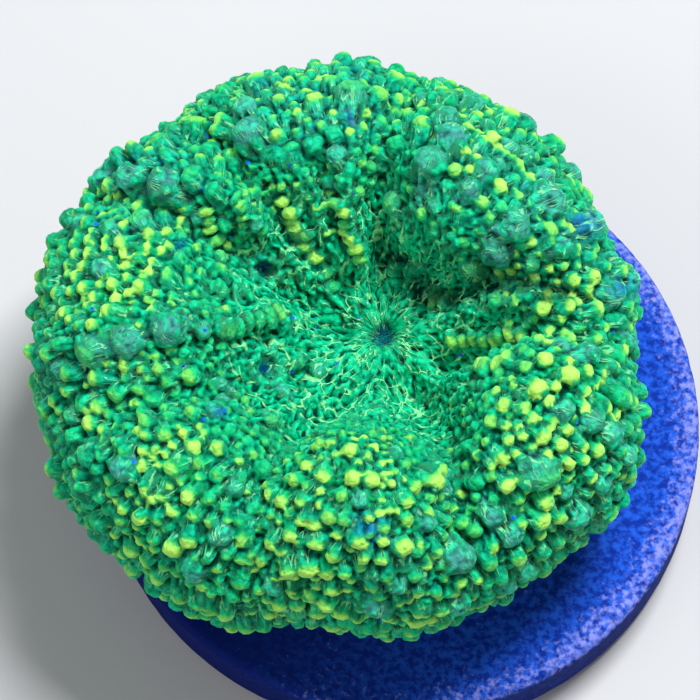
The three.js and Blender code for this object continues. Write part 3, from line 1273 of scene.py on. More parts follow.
# Blisters as the photograph shows them: columns and rows of their middles, and radii, in pixels
SEEN_BLISTERS = (
    (243, 83, 14), (244, 113, 13), (252, 135, 17), (198, 112, 9), (106, 160, 9),
    (137, 178, 18), (108, 176, 11), (168, 182, 19), (84, 224, 11), (111, 230, 10),
    (142, 227, 15), (200, 216, 9), (255, 224, 8), (100, 270, 12), (325, 59, 9),
    (368, 64, 13), (290, 76, 9), (349, 101, 17), (412, 76, 8), (440, 88, 12),
    (423, 106, 11), (447, 121, 14), (435, 169, 21), (452, 141, 18), (400, 207, 14),
    (337, 153, 12), (380, 161, 10), (334, 182, 9), (437, 205, 9), (470, 112, 14),
    (518, 132, 15), (506, 116, 10), (506, 149, 11), (487, 129, 9), (500, 166, 8),
    (486, 170, 12), (470, 189, 13), (524, 160, 11), (538, 153, 9), (539, 181, 14),
    (565, 178, 15), (545, 202, 20), (512, 225, 18), (498, 248, 18), (473, 264, 17),
    (581, 230, 18), (588, 215, 10), (561, 248, 12), (611, 242, 9), (608, 261, 9),
    (628, 279, 14), (604, 294, 16), (530, 261, 10), (640, 297, 9), (96, 347, 19),
    (130, 340, 17), (165, 329, 18), (200, 330, 10), (220, 329, 12), (223, 404, 9),
    (214, 413, 9), (232, 396, 9), (220, 382, 7), (58, 425, 12), (76, 416, 11),
    (125, 464, 14), (84, 483, 14), (232, 488, 10), (66, 366, 12), (223, 533, 11),
    (198, 567, 15), (296, 600, 14), (275, 581, 12), (397, 579, 12), (377, 599, 16),
    (451, 556, 21), (440, 474, 9), (441, 490, 9), (423, 523, 11), (495, 513, 13),
    (509, 532, 13), (541, 471, 18), (524, 463, 10), (562, 489, 9), (571, 513, 17),
    (620, 455, 14), (600, 481, 12), (522, 565, 14), (504, 581, 12), (455, 596, 14),
    (430, 619, 12), (562, 544, 9), (564, 410, 12), (582, 357, 14), (562, 350, 10),
    (622, 341, 13), (588, 425, 14), (608, 433, 13), (360, 500, 9), (395, 455, 9),
    (298, 361, 10), (320, 372, 9), (283, 395, 10), (268, 420, 9),
)

# Rows of stacked plates: first and last middles, how many, half their width, in pixels, and caps
SEEN_ROWS = (
    ((345, 203), (358, 255), 7, 11, 0.9),
    ((288, 200), (298, 224), 4, 12, 0.9),
    ((306, 232), (312, 256), 3, 14, 0.9),
    ((233, 197), (246, 216), 4, 9, 0.7),
    ((205, 208), (216, 236), 4, 10, 0.7),
    ((457, 337), (526, 331), 8, 11, 0.9),
    ((484, 369), (512, 362), 4, 12, 0.8),
    ((226, 326), (276, 317), 6, 13, 0.6),
    ((440, 296), (452, 306), 3, 11, 0.7),
    ((322, 274), (330, 290), 3, 9, 0.5),
    ((396, 280), (402, 262), 3, 10, 0.1),
    ((414, 277), (424, 264), 3, 9, 0.1),
    ((212, 292), (246, 300), 8, 9, 0.4),
)

# Blue shades: columns and rows of their middles, and radii, in pixels
SEEN_BLUE = (
    (584, 224, 24), (372, 530, 26), (622, 286, 17), (180, 246, 12), (350, 116, 8),
    (116, 232, 8), (262, 266, 10), (265, 368, 8), (220, 412, 12), (104, 347, 7),
    (640, 292, 8), (432, 482, 8), (205, 190, 7),
)

# Side mouths: columns and rows of their middles, and radii, in pixels
SEEN_MOUTHS = ((262, 268, 9), (265, 368, 9))

# Cooler flesh: columns and rows of the middles, and radii, in pixels
SEEN_COOL = ((470, 185, 95), (320, 105, 95), (560, 260, 60), (150, 190, 70), (230, 240, 60))


@dataclass(frozen=True)
class KnobZone:
    """A belt of the polyp and the knobs that it bears."""

    until: float  # share of the half turn
    radius: float  # mm
    length: float  # of the radius
    lean: float  # outwards and down, of the upright
    cap: float


ZONES = (
    KnobZone(0.10, 0.0, 2.0, 0.1, 0.0),
    KnobZone(0.17, 0.24, 2.2, 0.8, 0.15),
    KnobZone(0.22, 0.31, 2.5, 1.0, 0.35),
    KnobZone(0.29, 0.38, 2.9, 1.1, 0.6),
    KnobZone(0.40, 0.47, 3.3, 1.2, 0.85),
    KnobZone(0.50, 0.50, 3.6, 1.3, 0.9),
    KnobZone(0.66, 0.51, 3.9, 1.2, 0.85),
    KnobZone(0.74, 0.47, 3.4, 1.0, 0.5),
    KnobZone(0.80, 0.40, 2.4, 0.6, 0.3),
    KnobZone(1.00, 0.0, 2.0, 0.0, 0.0),
)

# Where tips shine most: columns and rows of the middles, radii in pixels, and how much more
SEEN_SHINE = (
    (350, 480, 70, 0.3), (560, 415, 70, 0.4), (110, 280, 55, 0.45), (165, 470, 45, 0.3),
    (300, 590, 60, 0.3), (540, 280, 45, 0.35), (475, 135, 55, 0.35), (310, 90, 45, 0.2),
    (325, 215, 30, 0.5), (470, 345, 45, 0.3), (300, 380, 40, 0.3), (145, 260, 30, 0.4),
    (545, 480, 45, 0.35), (430, 610, 40, 0.3), (150, 520, 50, 0.2), (240, 325, 30, 0.3),
)


@dataclass(frozen=True)
class Wrinkles:
    """The skin's fine relief in millimetres, and how the painted shade in its creases and the
    painted highlight on its ridges are found.
    """

    drift_scale: float = 0.6  # features a millimetre, as are the next three
    fold_scale: float = 1.9
    lump_scale: float = 1.1
    break_scale: float = 1.2
    fold_height: float = 0.045
    lump_height: float = 0.06
    stria_height: float = 0.13
    stria_crowd: float = 0.7  # how closely the striae stand, of the bowl's flutes
    stria_run: float = 0.5
    stria_starts: Pair = (0.5, 1.2)  # from the mouth
    stria_ends: Pair = (4.5, 7.5)
    even_rounds: int = 1  # how often the fused skin is evened out
    near_rounds: int = 5  # and how often to find what is sharp
    far_rounds: int = 30  # and what is broad
    sharp_depth: float = 0.02
    sharp_share: float = 0.65
    broad_depth: float = 0.12
    broad_share: float = 0.7
    # Painted highlight: sharp ridges are coloured paler.
    ridge_highlight_range: Pair = (0.008, 0.03)
    ridge_highlight_share: float = 0.65

    def relief(self, points: np.ndarray, mouth: Place, flutes: float) -> np.ndarray:
        """Fine wrinkles, and the striae that run out from the mouth.

        Args:
            points: the skin's points.
            mouth: the mouth's place in plan.
            flutes: how closely the bowl is fluted.

        Returns:
            Millimetres outwards at each point.
        """
        plan = points[:, :2] - mouth
        reach = np.hypot(plan[:, 0], plan[:, 1])
        around = np.arctan2(plan[:, 1], plan[:, 0])
        drift = noise(points * self.drift_scale, Seed.DRIFT)
        bowl = smoothstep(reach, *self.stria_starts) * (1 - smoothstep(reach, *self.stria_ends))
        broken = 0.5 + 0.5 * noise(points * self.break_scale, Seed.BREAKS)
        rays = np.column_stack((np.cos(around), np.sin(around))) * flutes * self.stria_crowd
        ways = np.column_stack((rays, self.stria_run * reach + drift))
        striae = (1 - 2 * np.abs(noise(ways, Seed.STRIAE))) * self.stria_height * bowl * broken
        fold = 1 - np.abs(noise(points * self.fold_scale + drift[:, None], Seed.FOLDS)) * 2
        lump = noise(points * self.lump_scale, Seed.LUMPS)
        return striae + self.fold_height * fold + self.lump_height * lump


@dataclass(frozen=True)
class Shading:
    """Where the skin's shades start and end, and how strong they are.

    Gaps are in millimetres. Tips, flanks and flutes are in radii of a growth, from the middle of
    its round tip. Round shades are in radii of their own.
    """

    bare: Pair = (0.04, 0.16)
    tip: Pair = (-1.2, 0.9)
    # Where the painted highlight on a growth's flanks starts and ends, and how strong it is.
    flank_starts: Pair = (-0.95, -0.6)
    flank_ends: Pair = (-0.45, -0.1)
    flank_share: float = 0.4
    flank_blister: float = 0.4
    bowl: Pair = (-0.04, 0.06)  # shares of the half turn past the bowl's edge
    # How far the bowl's paler colour and painted light reach past its edge.
    bright: float = 0.14
    flutes_end: Pair = (-0.5, 0.3)
    blister_flutes: float = 0.6  # how much fainter a blister's own flutes are
    net_share: float = 0.6
    net_blister: float = 0.7
    warm_scale: float = 0.45  # patches a millimetre
    warm_range: Pair = (-0.3, 0.35)
    warm_share: float = 0.25
    warm_shine: float = 0.6
    warm_patch: float = 0.9
    warm_most: float = 0.8
    own_bare: float = 0.5
    streak_gap: float = 0.1
    streak_core: float = 0.3
    streak_run: float = 1.6
    shine: Pair = (0.5, 1.3)
    cool: Pair = (0.4, 1.2)
    blue_scale: float = 1.4
    blue_ragged: float = 0.35
    blue_wide: Pair = (0.3, 1.1)
    blue_wide_share: float = 0.5
    blue_core: Pair = (0.1, 0.6)
    blue_core_share: float = 0.35
    mouth_scale: float = 3.0
    mouth_ragged: float = 0.45
    mouth: Pair = (0.5, 1.4)
    mouth_most: float = 0.95


@dataclass
class Coral:
    """The polyp: its flesh, what grows on it, and its paint.

    Leans are of the upright, rooms and gaps of the growths' radii, and a pair is the least and
    the most that is drawn.
    """

    view: View
    finish: FleshFinish = field(default_factory=FleshFinish)
    flesh: Flesh = field(default_factory=Flesh)
    wrinkles: Wrinkles = field(default_factory=Wrinkles)
    shading: Shading = field(default_factory=Shading)
    flesh_rounds: int = 7
    voxel: float = 0.1  # mm
    quick_voxels: float = 2.0
    triangles: int = 196_000
    blister_more: float = 1.15  # how much larger a blister is than its seen part
    blister_lean: Pair = (0.8, 1.3)
    blister_back: float = 0.2  # how far it stands back towards the mouth
    blister_caps: tuple[float, ...] = (0.08, 0.25, 0.45)
    blister_odds: tuple[float, ...] = (0.45, 0.35, 0.2)
    blister_room: float = 0.72
    plate_lean: float = 0.3
    plate_stray: float = 0.15  # mm
    plate_caps: Pair = (0.6, 1.1)
    plate_flutes: float = 0.05
    plate_room: float = 0.7  # of its width
    knob_gap: float = 0.86
    knob_varies: Pair = (0.7, 1.3)
    knob_leans: Pair = (0.6, 1.4)
    knob_stray: float = 0.18
    knob_caps: Pair = (0.4, 1.1)
    pairs: float = 0.5  # share of the knobs with a smaller one beside them
    pair_apart: Pair = (1.0, 1.5)
    pair_drop: Pair = (-0.8, 0.3)
    pair_size: Pair = (0.6, 0.95)
    pair_spread: float = 0.3
    pair_cap: float = 0.8
    bead_radius: Pair = (0.17, 0.27)  # mm
    bead_belt: Pair = (0.06, 0.82)  # shares of the half turn between which beads and fins grow
    bead_gap: float = 0.8
    bead_lean: float = 0.3
    bead_caps: Pair = (0.0, 0.3)
    fin_edge: float = 0.08  # share of the half turn over which fins give way to beads
    fin_lean: Pair = (-0.5, 0.5)
    fin_stray: float = 0.6
    fin_caps: Pair = (0.0, 0.2)
    big_radius: Pair = (0.55, 0.8)  # mm
    big_belt: Pair = (0.24, 0.7)  # shares of the half turn between which the big knobs grow
    big_share: float = 0.012  # of the flesh's vertices that are tried for them
    big_gap: float = 1.0
    flute_width: float = 0.28
    flute_length: float = 1.2
    bowl_flutes: float = 10.0
    mouth_depth: float = 0.3  # mm that a side mouth is sunk
    lip_knobs: int = 14
    lip_reach: float = 1.9  # of a side mouth's radius
    lip_width: float = 0.7
    lip_varies: Pair = (0.9, 1.15)
    lip_lean: float = 0.5
    lip_radius: Pair = (0.24, 0.34)  # mm
    lip_length: float = 3.4
    lip_cap: float = 0.2
    lip_room: float = 1.2
    blue_depth: float = 3.5  # mm within which a blue shade takes in what grows there
    # A painted shadow darkens the hollow under the largest lobe and the foot of that lobe.
    hollow_reach: float = 1.3  # mm that the shade in the hollow spreads
    hollow_shadow: float = 0.85
    fold_width: float = 0.8  # mm that the shade along the largest lobe's foot spreads
    fold_shadow: float = 0.9
    bowl_turn: float = 0.22  # share of the half turn that the bowl takes
    bowl_thinness: float = 0.985  # share of its places where no knob is tried
    growths: list[Growth] = field(default_factory=list)

    def build(self, top: float) -> bpy.types.Object:
        """Sculpt, paint and place the coral.

        Args:
            top: height of the disc's top in the row frame, in metres.

        Returns:
            The coral's object.
        """
        self.random = np.random.default_rng(SCATTER_SEED)
        self.offset = np.array((*CORAL_OFFSET, top / MM))
        self.grow_flesh()
        self.grow_blisters()
        self.grow_rows()
        self.ring_mouths()
        self.grow_knobs()
        self.grow_beads()
        log.info("coral: %d growths", len(self.growths))
        fine = self.fused()
        shades = self.wrinkled(fine)
        mesh = self.thinned(fine, shades)
        mesh.name = "coral_flesh"
        smooth_faces(mesh)
        piece = bpy.data.objects.new("coral_flesh", mesh)
        move_points(mesh, (points_of(mesh) + self.offset) * MM)
        mesh.materials.clear()
        mesh.materials.append(self.finish.material())
        bpy.context.scene.collection.objects.link(piece)
        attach(piece, "root")
        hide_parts("coral")
        return piece

    def grow_flesh(self) -> None:
        """Make the bare flesh, and what finds places on it."""
        self.directions, self.faces = ball(self.flesh_rounds)
        self.points = self.flesh.surface(self.directions)
        self.find_places()
        scale = self.view.pixel_size()
        mouth = self.points[np.argmin(self.flesh.turn(self.directions))]
        self.mouth_spots = [(mouth, PITS[0].width)]
        for column, row, size in SEEN_MOUTHS:
            middle = self.points[self.seen((column, row))]
            away = np.linalg.norm(self.points - middle, axis=1) / (size * scale)
            sunk = self.mouth_depth * np.exp(-(away**2))
            self.points = self.points - self.normals * sunk[:, None]
            self.mouth_spots.append((middle, size * scale))
        self.find_places()
        self.turns = self.flesh.turn(self.directions)
        around = np.arctan2(self.directions[:, 1], self.directions[:, 0])
        self.level = np.column_stack((-np.sin(around), np.cos(around), np.zeros(len(around))))
        self.room: list[tuple[np.ndarray, float]] = []

    def find_places(self) -> None:
        """Work out what finds places on the flesh: its normals, its surface and its vertices."""
        mesh = mesh_of("flesh", self.points, self.faces)
        self.normals = normals_of(mesh)
        bpy.data.meshes.remove(mesh)
        self.surface = BVHTree.FromPolygons(self.points.tolist(), self.faces.tolist())
        self.places = tree_of(self.points)

    def seen(self, pixel: Place) -> int:
        """The flesh's vertex that the photograph shows at a pixel.

        Args:
            pixel: columns from the left and rows from the top.

        Returns:
            The vertex's place in the list.
        """
        eye = self.view.eye() - self.offset
        ray = self.view.ray(pixel)
        hit, _, _, _ = self.surface.ray_cast(eye, ray)
        if hit is None:
            wall_height = self.flesh.section[self.flesh.wall][1]
            hit = eye + ray * (wall_height - eye[2]) / ray[2]
        return self.places.find(hit)[1]

    def away_from(self, points: np.ndarray, pixel: Place, size: float) -> np.ndarray:
        """Distances from the flesh that the photograph shows at a pixel.

        Args:
            points: points of the flesh or the skin.
            pixel: columns from the left and rows from the top.
            size: how many pixels count as 1.

        Returns:
            One distance for each point.
        """
        middle = self.points[self.seen(pixel)]
        return np.linalg.norm(points - middle, axis=1) / (size * self.view.pixel_size())

    def axes_at(self, index: int, lean: float) -> tuple[np.ndarray, np.ndarray, np.ndarray]:
        """The directions of a growth on the flesh.

        Args:
            index: the flesh's vertex.
            lean: how far the growth leans outwards, of the upright.

        Returns:
            Its axis, its level side direction, and the way outwards along the flesh.
        """
        normal = self.normals[index]
        outwards = unit(np.cross(self.level[index], normal))
        axis = unit(normal + lean * outwards)
        side = unit(self.level[index] - axis * (axis @ self.level[index]))
        return axis, side, outwards

    def grow_blisters(self) -> None:
        """Place the bladders that the photograph shows."""
        habit = HABITS[Kind.BLISTER]
        scale = self.view.pixel_size()
        for column, row, size in SEEN_BLISTERS:
            index = self.seen((column, row))
            radius = size * scale * self.blister_more
            axis, side, outwards = self.axes_at(index, self.random.uniform(*self.blister_lean))
            length = radius * self.random.uniform(*habit.length)
            self.growths.append(
                Growth(
                    kind=Kind.BLISTER,
                    foot=self.points[index] - outwards * radius * self.blister_back,
                    axis=axis,
                    side=side,
                    width=radius * self.random.uniform(*habit.width),
                    thickness=radius * self.random.uniform(*habit.thickness),
                    length=length,
                    sunk=habit.sunk,
                    root=self.random.uniform(*habit.root),
                    cap=self.random.choice(self.blister_caps, p=self.blister_odds),
                    flutes=int(self.random.integers(*habit.flutes)),
                    flute_depth=self.random.uniform(*habit.flute_depth),
                    turned=self.random.uniform(0, 2 * math.pi),
                    lumps=habit.lumps,
                )
            )
            self.room.append((self.points[index], radius * self.blister_room))

    def grow_rows(self) -> None:
        """Stack the rows of plates on the inner slopes."""
        habit = HABITS[Kind.PLATE]
        scale = self.view.pixel_size()
        for first, last, count, half, cap in SEEN_ROWS:
            indices = [
                self.seen(tuple(np.array(first) + (np.array(last) - first) * share))
                for share in np.linspace(0, 1, count)
            ]
            run = unit(self.points[indices[-1]] - self.points[indices[0]])
            step = np.linalg.norm(self.points[indices[-1]] - self.points[indices[0]]) / (count - 1)
            for index in indices:
                normal = self.normals[index]
                side = unit(np.cross(normal, run))
                axis = unit(normal - self.plate_lean * run)
                side = unit(side - axis * (axis @ side))
                width = half * scale * self.random.uniform(*habit.width)
                self.growths.append(
                    Growth(
                        kind=Kind.PLATE,
                        foot=self.points[index] + side * self.random.normal(0, self.plate_stray),
                        axis=axis,
                        side=side,
                        width=width,
                        thickness=step * self.random.uniform(*habit.thickness),
                        length=width * self.random.uniform(*habit.length),
                        sunk=habit.sunk,
                        cap=cap * self.random.uniform(*self.plate_caps),
                        flute_depth=self.plate_flutes,
                        lumps=habit.lumps,
                    )
                )
                self.room.append((self.points[index], width * self.plate_room))

    def ring_mouths(self) -> None:
        """Ruffle the lips of the side mouths."""
        for middle, radius in self.mouth_spots[1:]:
            centre = self.places.find(middle)[1]
            _, across, outwards = self.axes_at(centre, 0.0)
            for angle in np.linspace(0, 2 * math.pi, self.lip_knobs, endpoint=False):
                reach = self.lip_reach * radius * self.random.uniform(*self.lip_varies)
                way = across * math.cos(angle) + outwards * math.sin(angle)
                index = self.places.find(middle + way * reach)[1]
                axis = unit(self.normals[index] + self.lip_lean * way)
                side = unit(np.cross(axis, way))
                size = self.random.uniform(*self.lip_radius)
                self.add_knob(index, (axis, side), size, self.lip_length, self.lip_cap)
            self.room.append((middle, self.lip_reach * self.lip_room * radius))
        self.room.append(self.mouth_spots[0])

    def add_knob(
        self,
        index: int,
        axes: tuple[np.ndarray, np.ndarray],
        radius: float,
        length: float,
        cap: float,
    ) -> None:
        """Add one knob.

        Args:
            index: the flesh's vertex.
            axes: the way it points, and a direction across it.
            radius: its radius in millimetres.
            length: its length, of the radius.
            cap: how strongly its tip is coloured.
        """
        habit = HABITS[Kind.KNOB]
        axis, side = axes
        self.growths.append(
            Growth(
                kind=Kind.KNOB,
                foot=self.points[index],
                axis=axis,
                side=side,
                width=radius * self.random.uniform(*habit.width),
                thickness=radius * self.random.uniform(*habit.thickness),
                length=radius * length * self.random.uniform(*habit.length),
                sunk=habit.sunk,
                root=self.random.uniform(*habit.root),
                cap=cap,
                flutes=int(self.random.integers(*habit.flutes)),
                flute_depth=self.random.uniform(*habit.flute_depth),
                turned=self.random.uniform(0, 2 * math.pi),
                lumps=habit.lumps,
            )
        )

    def scattered(self, radii: np.ndarray, gap: float) -> list[int]:
        """Choose the flesh's vertices where growths of the given sizes find room.

        Args:
            radii: the radius wanted at each vertex, 0 for none.
            gap: how close two may stand, of the sum of their radii.

        Returns:
            The chosen vertices.
        """
        chosen: list[int] = []
        wanted = np.flatnonzero(radii > 0)
        self.random.shuffle(wanted)
        centres = np.empty((len(self.room) + len(wanted), 3))
        sizes = np.empty(len(centres))
        count = len(self.room)
        centres[:count] = [centre for centre, _ in self.room]
        sizes[:count] = [size for _, size in self.room]
        for index in wanted:
            apart = centres[:count] - self.points[index]
            least = gap * (sizes[:count] + radii[index])
            if (np.einsum("ij,ij->i", apart, apart) < least * least).any():
                continue
            centres[count] = self.points[index]
            sizes[count] = radii[index]
            count += 1
            chosen.append(int(index))
            self.room.append((self.points[index], radii[index]))
        return chosen

    def shine(self, points: np.ndarray) -> np.ndarray:
        """How much more the tips shine at each point.

        Args:
            points: points of the flesh or the skin.

        Returns:
            What is added to a tip's colour.
        """
        more = np.zeros(len(points))
        for column, row, size, strength in SEEN_SHINE:
            away = self.away_from(points, (column, row), size)
            more = np.maximum(more, strength * (1 - smoothstep(away, *self.shading.shine)))
        return more

    def grow_knobs(self) -> None:
        """Cover the crown and the wall with knobs, larger outwards, some of them in pairs."""
        ends = np.array([zone.until for zone in ZONES])
        zones = np.searchsorted(ends, self.turns, side="right").clip(0, len(ZONES) - 1)
        count = len(self.points)
        varied = self.random.uniform(*self.knob_varies, count)
        radii = np.array([zone.radius for zone in ZONES])[zones] * varied
        thinly = self.random.random(count) < self.bowl_thinness
        radii[(self.turns < self.bowl_turn) & thinly] = 0
        shine = self.shine(self.points)
        low, high = self.big_belt
        tried = self.random.random(count) < self.big_share
        tried &= (self.turns > low) & (self.turns < high)
        big = np.where(tried, self.random.uniform(*self.big_radius, count), 0)
        chosen = self.scattered(big, self.big_gap)
        radii[chosen] = big[chosen]
        for index in chosen + self.scattered(radii, self.knob_gap):
            zone = ZONES[zones[index]]
            lean = zone.lean * self.random.uniform(*self.knob_leans)
            axis, side, _ = self.axes_at(index, lean)
            axis = unit(axis + self.knob_stray * self.random.normal(size=3))
            side = unit(side - axis * (axis @ side))
            cap = zone.cap * self.random.uniform(*self.knob_caps) + shine[index]
            self.add_knob(index, (axis, side), radii[index], zone.length, cap)
            if self.random.random() < self.pairs:
                beside = side * self.random.choice((-1, 1)) * radii[index]
                beside *= self.random.uniform(*self.pair_apart)
                beside += axis * radii[index] * self.random.uniform(*self.pair_drop)
                size = radii[index] * self.random.uniform(*self.pair_size)
                apart = unit(axis + self.pair_spread * beside)
                self.add_knob(index, (apart, side), size, zone.length, cap * self.pair_cap)
                self.growths[-1].foot = self.points[index] + beside

    def grow_beads(self) -> None:
        """Fill the bowl and the gaps between knobs with beads."""
        radii = self.random.uniform(*self.bead_radius, len(self.points))
        low, high = self.bead_belt
        radii[(self.turns > high) | (self.turns < low)] = 0
        for index in self.scattered(radii, self.bead_gap):
            if self.turns[index] < self.bowl_turn + self.random.uniform(0, self.fin_edge):
                self.add_fin(index, radii[index])
            else:
                self.add_bead(index, radii[index])

    def add_fin(self, index: int, radius: float) -> None:
        """Add one thin wrinkle of the bowl, which runs more or less towards the mouth.

        Args:
            index: the flesh's vertex.
            radius: its size in millimetres.
        """
        habit = HABITS[Kind.FIN]
        axis, _, outwards = self.axes_at(index, self.random.uniform(*self.fin_lean))
        side = outwards + self.random.normal(0, self.fin_stray) * self.level[index]
        self.growths.append(
            Growth(
                kind=Kind.FIN,
                foot=self.points[index],
                axis=axis,
                side=unit(side - axis * (axis @ side)),
                width=radius * self.random.uniform(*habit.width),
                thickness=radius * self.random.uniform(*habit.thickness),
                length=radius * self.random.uniform(*habit.length),
                sunk=habit.sunk,
                cap=self.random.uniform(*self.fin_caps),
                lumps=habit.lumps,
            )
        )

    def add_bead(self, index: int, radius: float) -> None:
        """Add one bead between the knobs.

        Args:
            index: the flesh's vertex.
            radius: its radius in millimetres.
        """
        habit = HABITS[Kind.BEAD]
        axis, side, _ = self.axes_at(index, self.bead_lean)
        self.growths.append(
            Growth(
                kind=Kind.BEAD,
                foot=self.points[index],
                axis=axis,
                side=side,
                width=radius,
                thickness=radius * self.random.uniform(*habit.thickness),
                length=radius * self.random.uniform(*habit.length),
                sunk=habit.sunk,
                cap=self.random.uniform(*self.bead_caps),
                lumps=habit.lumps,
            )
        )

    def fused(self) -> bpy.types.Mesh:
        """Fuse the flesh and all that grows on it into one closed skin.

        Returns:
            The skin's mesh.
        """
        vertices = [self.points]
        faces = [self.faces]
        for kind in Kind:
            same = [growth for growth in self.growths if growth.kind is kind]
            made, joined = blobs(same, HABITS[kind].rounds)
            faces.append(joined + sum(len(part) for part in vertices))
            vertices.append(made)
        mesh = mesh_of("fused", np.concatenate(vertices), np.concatenate(faces))
        voxel = self.voxel
        return with_modifier(mesh, "REMESH", mode="VOXEL", voxel_size=voxel, adaptivity=0.0)

    def wrinkled(self, mesh: bpy.types.Mesh) -> dict[str, np.ndarray]:
        """Wrinkle the fused skin and find where shade is painted in its creases and highlight on
        its ridges.

        Args:
            mesh: the fused skin, which is changed.

        Returns:
            The painted shade and highlight of its vertices, by name.
        """
        form = self.wrinkles
        edges = edges_of(mesh)
        points = relaxed(points_of(mesh), edges, form.even_rounds)
        move_points(mesh, points)
        relief = form.relief(points, self.flesh.mouth, self.bowl_flutes)
        points = points + normals_of(mesh) * relief[:, None]
        points[:, 2] = np.maximum(points[:, 2], 0)
        move_points(mesh, points)
        normals = normals_of(mesh)
        near = relaxed(points, edges, form.near_rounds)
        far = relaxed(near, edges, form.far_rounds)
        sharp = np.einsum("ij,ij->i", normals, near - points)
        broad = np.einsum("ij,ij->i", normals, far - points)
        # Painted shade: broad and sharp hollows, the hollow under the largest lobe and the foot of
        # that lobe are darkened.
        crease_shade = np.clip(broad / form.broad_depth, 0, 1) * form.broad_share
        crease_shade += np.clip(sharp / form.sharp_depth, 0, 1) * form.sharp_share
        # Painted highlight: sharp convex places are coloured mint.
        ridge = smoothstep(-sharp, *form.ridge_highlight_range) * form.ridge_highlight_share
        away = np.linalg.norm(points - self.hollow(), axis=1) / self.hollow_reach
        crease_shade += self.hollow_shadow * np.exp(-(away**2))
        away = distance_to_way(points[:, :2], SHADOW_FOLD_WAY) / self.fold_width
        crease_shade += self.fold_shadow * np.exp(-(away**2))
        return {"crease_shade": np.clip(crease_shade, 0, 1), "ridge": ridge}

    def hollow(self) -> np.ndarray:
        """The flesh's point in the hollow under the largest lobe."""
        plan = self.flesh.plan(self.directions)
        return self.points[np.argmin(np.linalg.norm(plan - HOLLOW, axis=1))]

    def thinned(self, fine: bpy.types.Mesh, shades: dict[str, np.ndarray]) -> bpy.types.Mesh:
        """Thin the skin to its budget of triangles and paint it.

        Args:
            fine: the fine skin, which is dropped.
            shades: the painted shade and highlight of its vertices.

        Returns:
            The painted mesh.
        """
        tree = tree_of(points_of(fine))
        share = min(1.0, self.triangles / triangles_of(fine))
        mesh = with_modifier(fine, "DECIMATE", ratio=share)
        keep_outer_skin(mesh)
        points = points_of(mesh)
        nearest = np.array([tree.find(point)[1] for point in points])
        for name, values in shades.items():
            paint(mesh, name, values[nearest])
        owners = Owners(self.growths, points)
        shares = self.random.random(len(self.growths))
        self.paint_growths(mesh, points, owners, shares)
        self.streak(mesh, points, owners, shares)
        paint(mesh, "cool", self.cool(points))
        paint(mesh, "blue", self.blues(points))
        paint(mesh, "mouth", self.mouths(points))
        log.info("coral: %d vertices", len(points))
        return mesh

    def paint_growths(
        self, mesh: bpy.types.Mesh, points: np.ndarray, owners: Owners, shares: np.ndarray
    ) -> None:
        """Keep the shades that follow the growths and the bowl, among them painted highlight on the
        flanks and partly painted light in the bowl.

        Args:
            mesh: the skin.
            points: its points.
            owners: the growths that they belong to.
            shares: a number from 0 to 1 for each growth.
        """
        form = self.shading
        bare = smoothstep(owners.gap, *form.bare)
        blisters = np.array([growth.kind is Kind.BLISTER for growth in self.growths])
        blistered = blisters[owners.index] * (1 - bare)
        caps = np.array([growth.cap for growth in self.growths])
        place = owners.along / owners.radius
        tip = caps[owners.index] * smoothstep(place, *form.tip)
        paint(mesh, "bare", bare)
        paint(mesh, "tip", np.clip(tip, 0, 1) * (1 - bare))
        paint(mesh, "bladder", blistered)
        # Painted highlight along the flanks of the growths, with the side mouths' pale lips laid
        # in.
        flank_highlight_and_lips = smoothstep(place, *form.flank_starts) * (1 - smoothstep(place, *form.flank_ends))
        flank_highlight_and_lips = flank_highlight_and_lips * (form.flank_share + form.flank_blister * blistered) * (1 - bare)
        paint(mesh, "flank_highlight_and_lips", np.maximum(flank_highlight_and_lips, self.lips(points)))
        turns = np.array([self.turns[self.places.find(point)[1]] for point in points])
        inner, outer = form.bowl
        bowl = 1 - smoothstep(turns, self.bowl_turn + inner, self.bowl_turn + outer)
        # Paler in the bowl: partly its own colour, partly painted light against the shade there.
        bright = 1 - smoothstep(turns, self.bowl_turn, self.bowl_turn + form.bright)
        fluted = (1 - smoothstep(place, *form.flutes_end)) * (1 - form.blister_flutes * blistered)
        net = np.maximum(bowl, form.net_share * np.maximum(fluted, bare))
        paint(mesh, "net", np.maximum(net, form.net_blister * blistered))
        paint(mesh, "bowl", bright)
        patchy = smoothstep(noise(points * form.warm_scale, Seed.WARM), *form.warm_range)
        shine = self.shine(points) * (form.warm_shine + form.warm_patch * patchy)
        warm = form.warm_share * patchy + shine
        paint(mesh, "warm", np.clip(warm, 0, form.warm_most) * (1 - bright))
        paint(mesh, "own", shares[owners.index] * (1 - bare) + form.own_bare * bare)

    def streak(
        self, mesh: bpy.types.Mesh, points: np.ndarray, owners: Owners, shares: np.ndarray
    ) -> None:
        """Keep the coordinates along which the skin is finely fluted.

        They run along each growth, and out from the mouth on bare flesh.

        Args:
            mesh: the skin.
            points: its points.
            owners: the growths that they belong to.
            shares: a number from 0 to 1 for each growth.
        """
        on_growth = np.column_stack(
            (
                owners.around * owners.radius / self.flute_width,
                owners.along / self.flute_length,
                shares[owners.index] * len(shares),
            )
        )
        form = self.shading
        plan = points[:, :2] - self.flesh.mouth
        reach = np.hypot(plan[:, 0], plan[:, 1])[:, None]
        rays = self.bowl_flutes * plan / np.maximum(reach, form.streak_core)
        on_flesh = np.column_stack((rays, form.streak_run * reach))
        fins = np.array([growth.kind is Kind.FIN for growth in self.growths])
        grown = (owners.gap < form.streak_gap) & ~fins[owners.index]
        streak = np.where(grown[:, None], on_growth, on_flesh)
        attribute = mesh.attributes.new("streak", "FLOAT_VECTOR", "POINT")
        attribute.data.foreach_set("vector", np.ascontiguousarray(streak, np.float32).ravel())

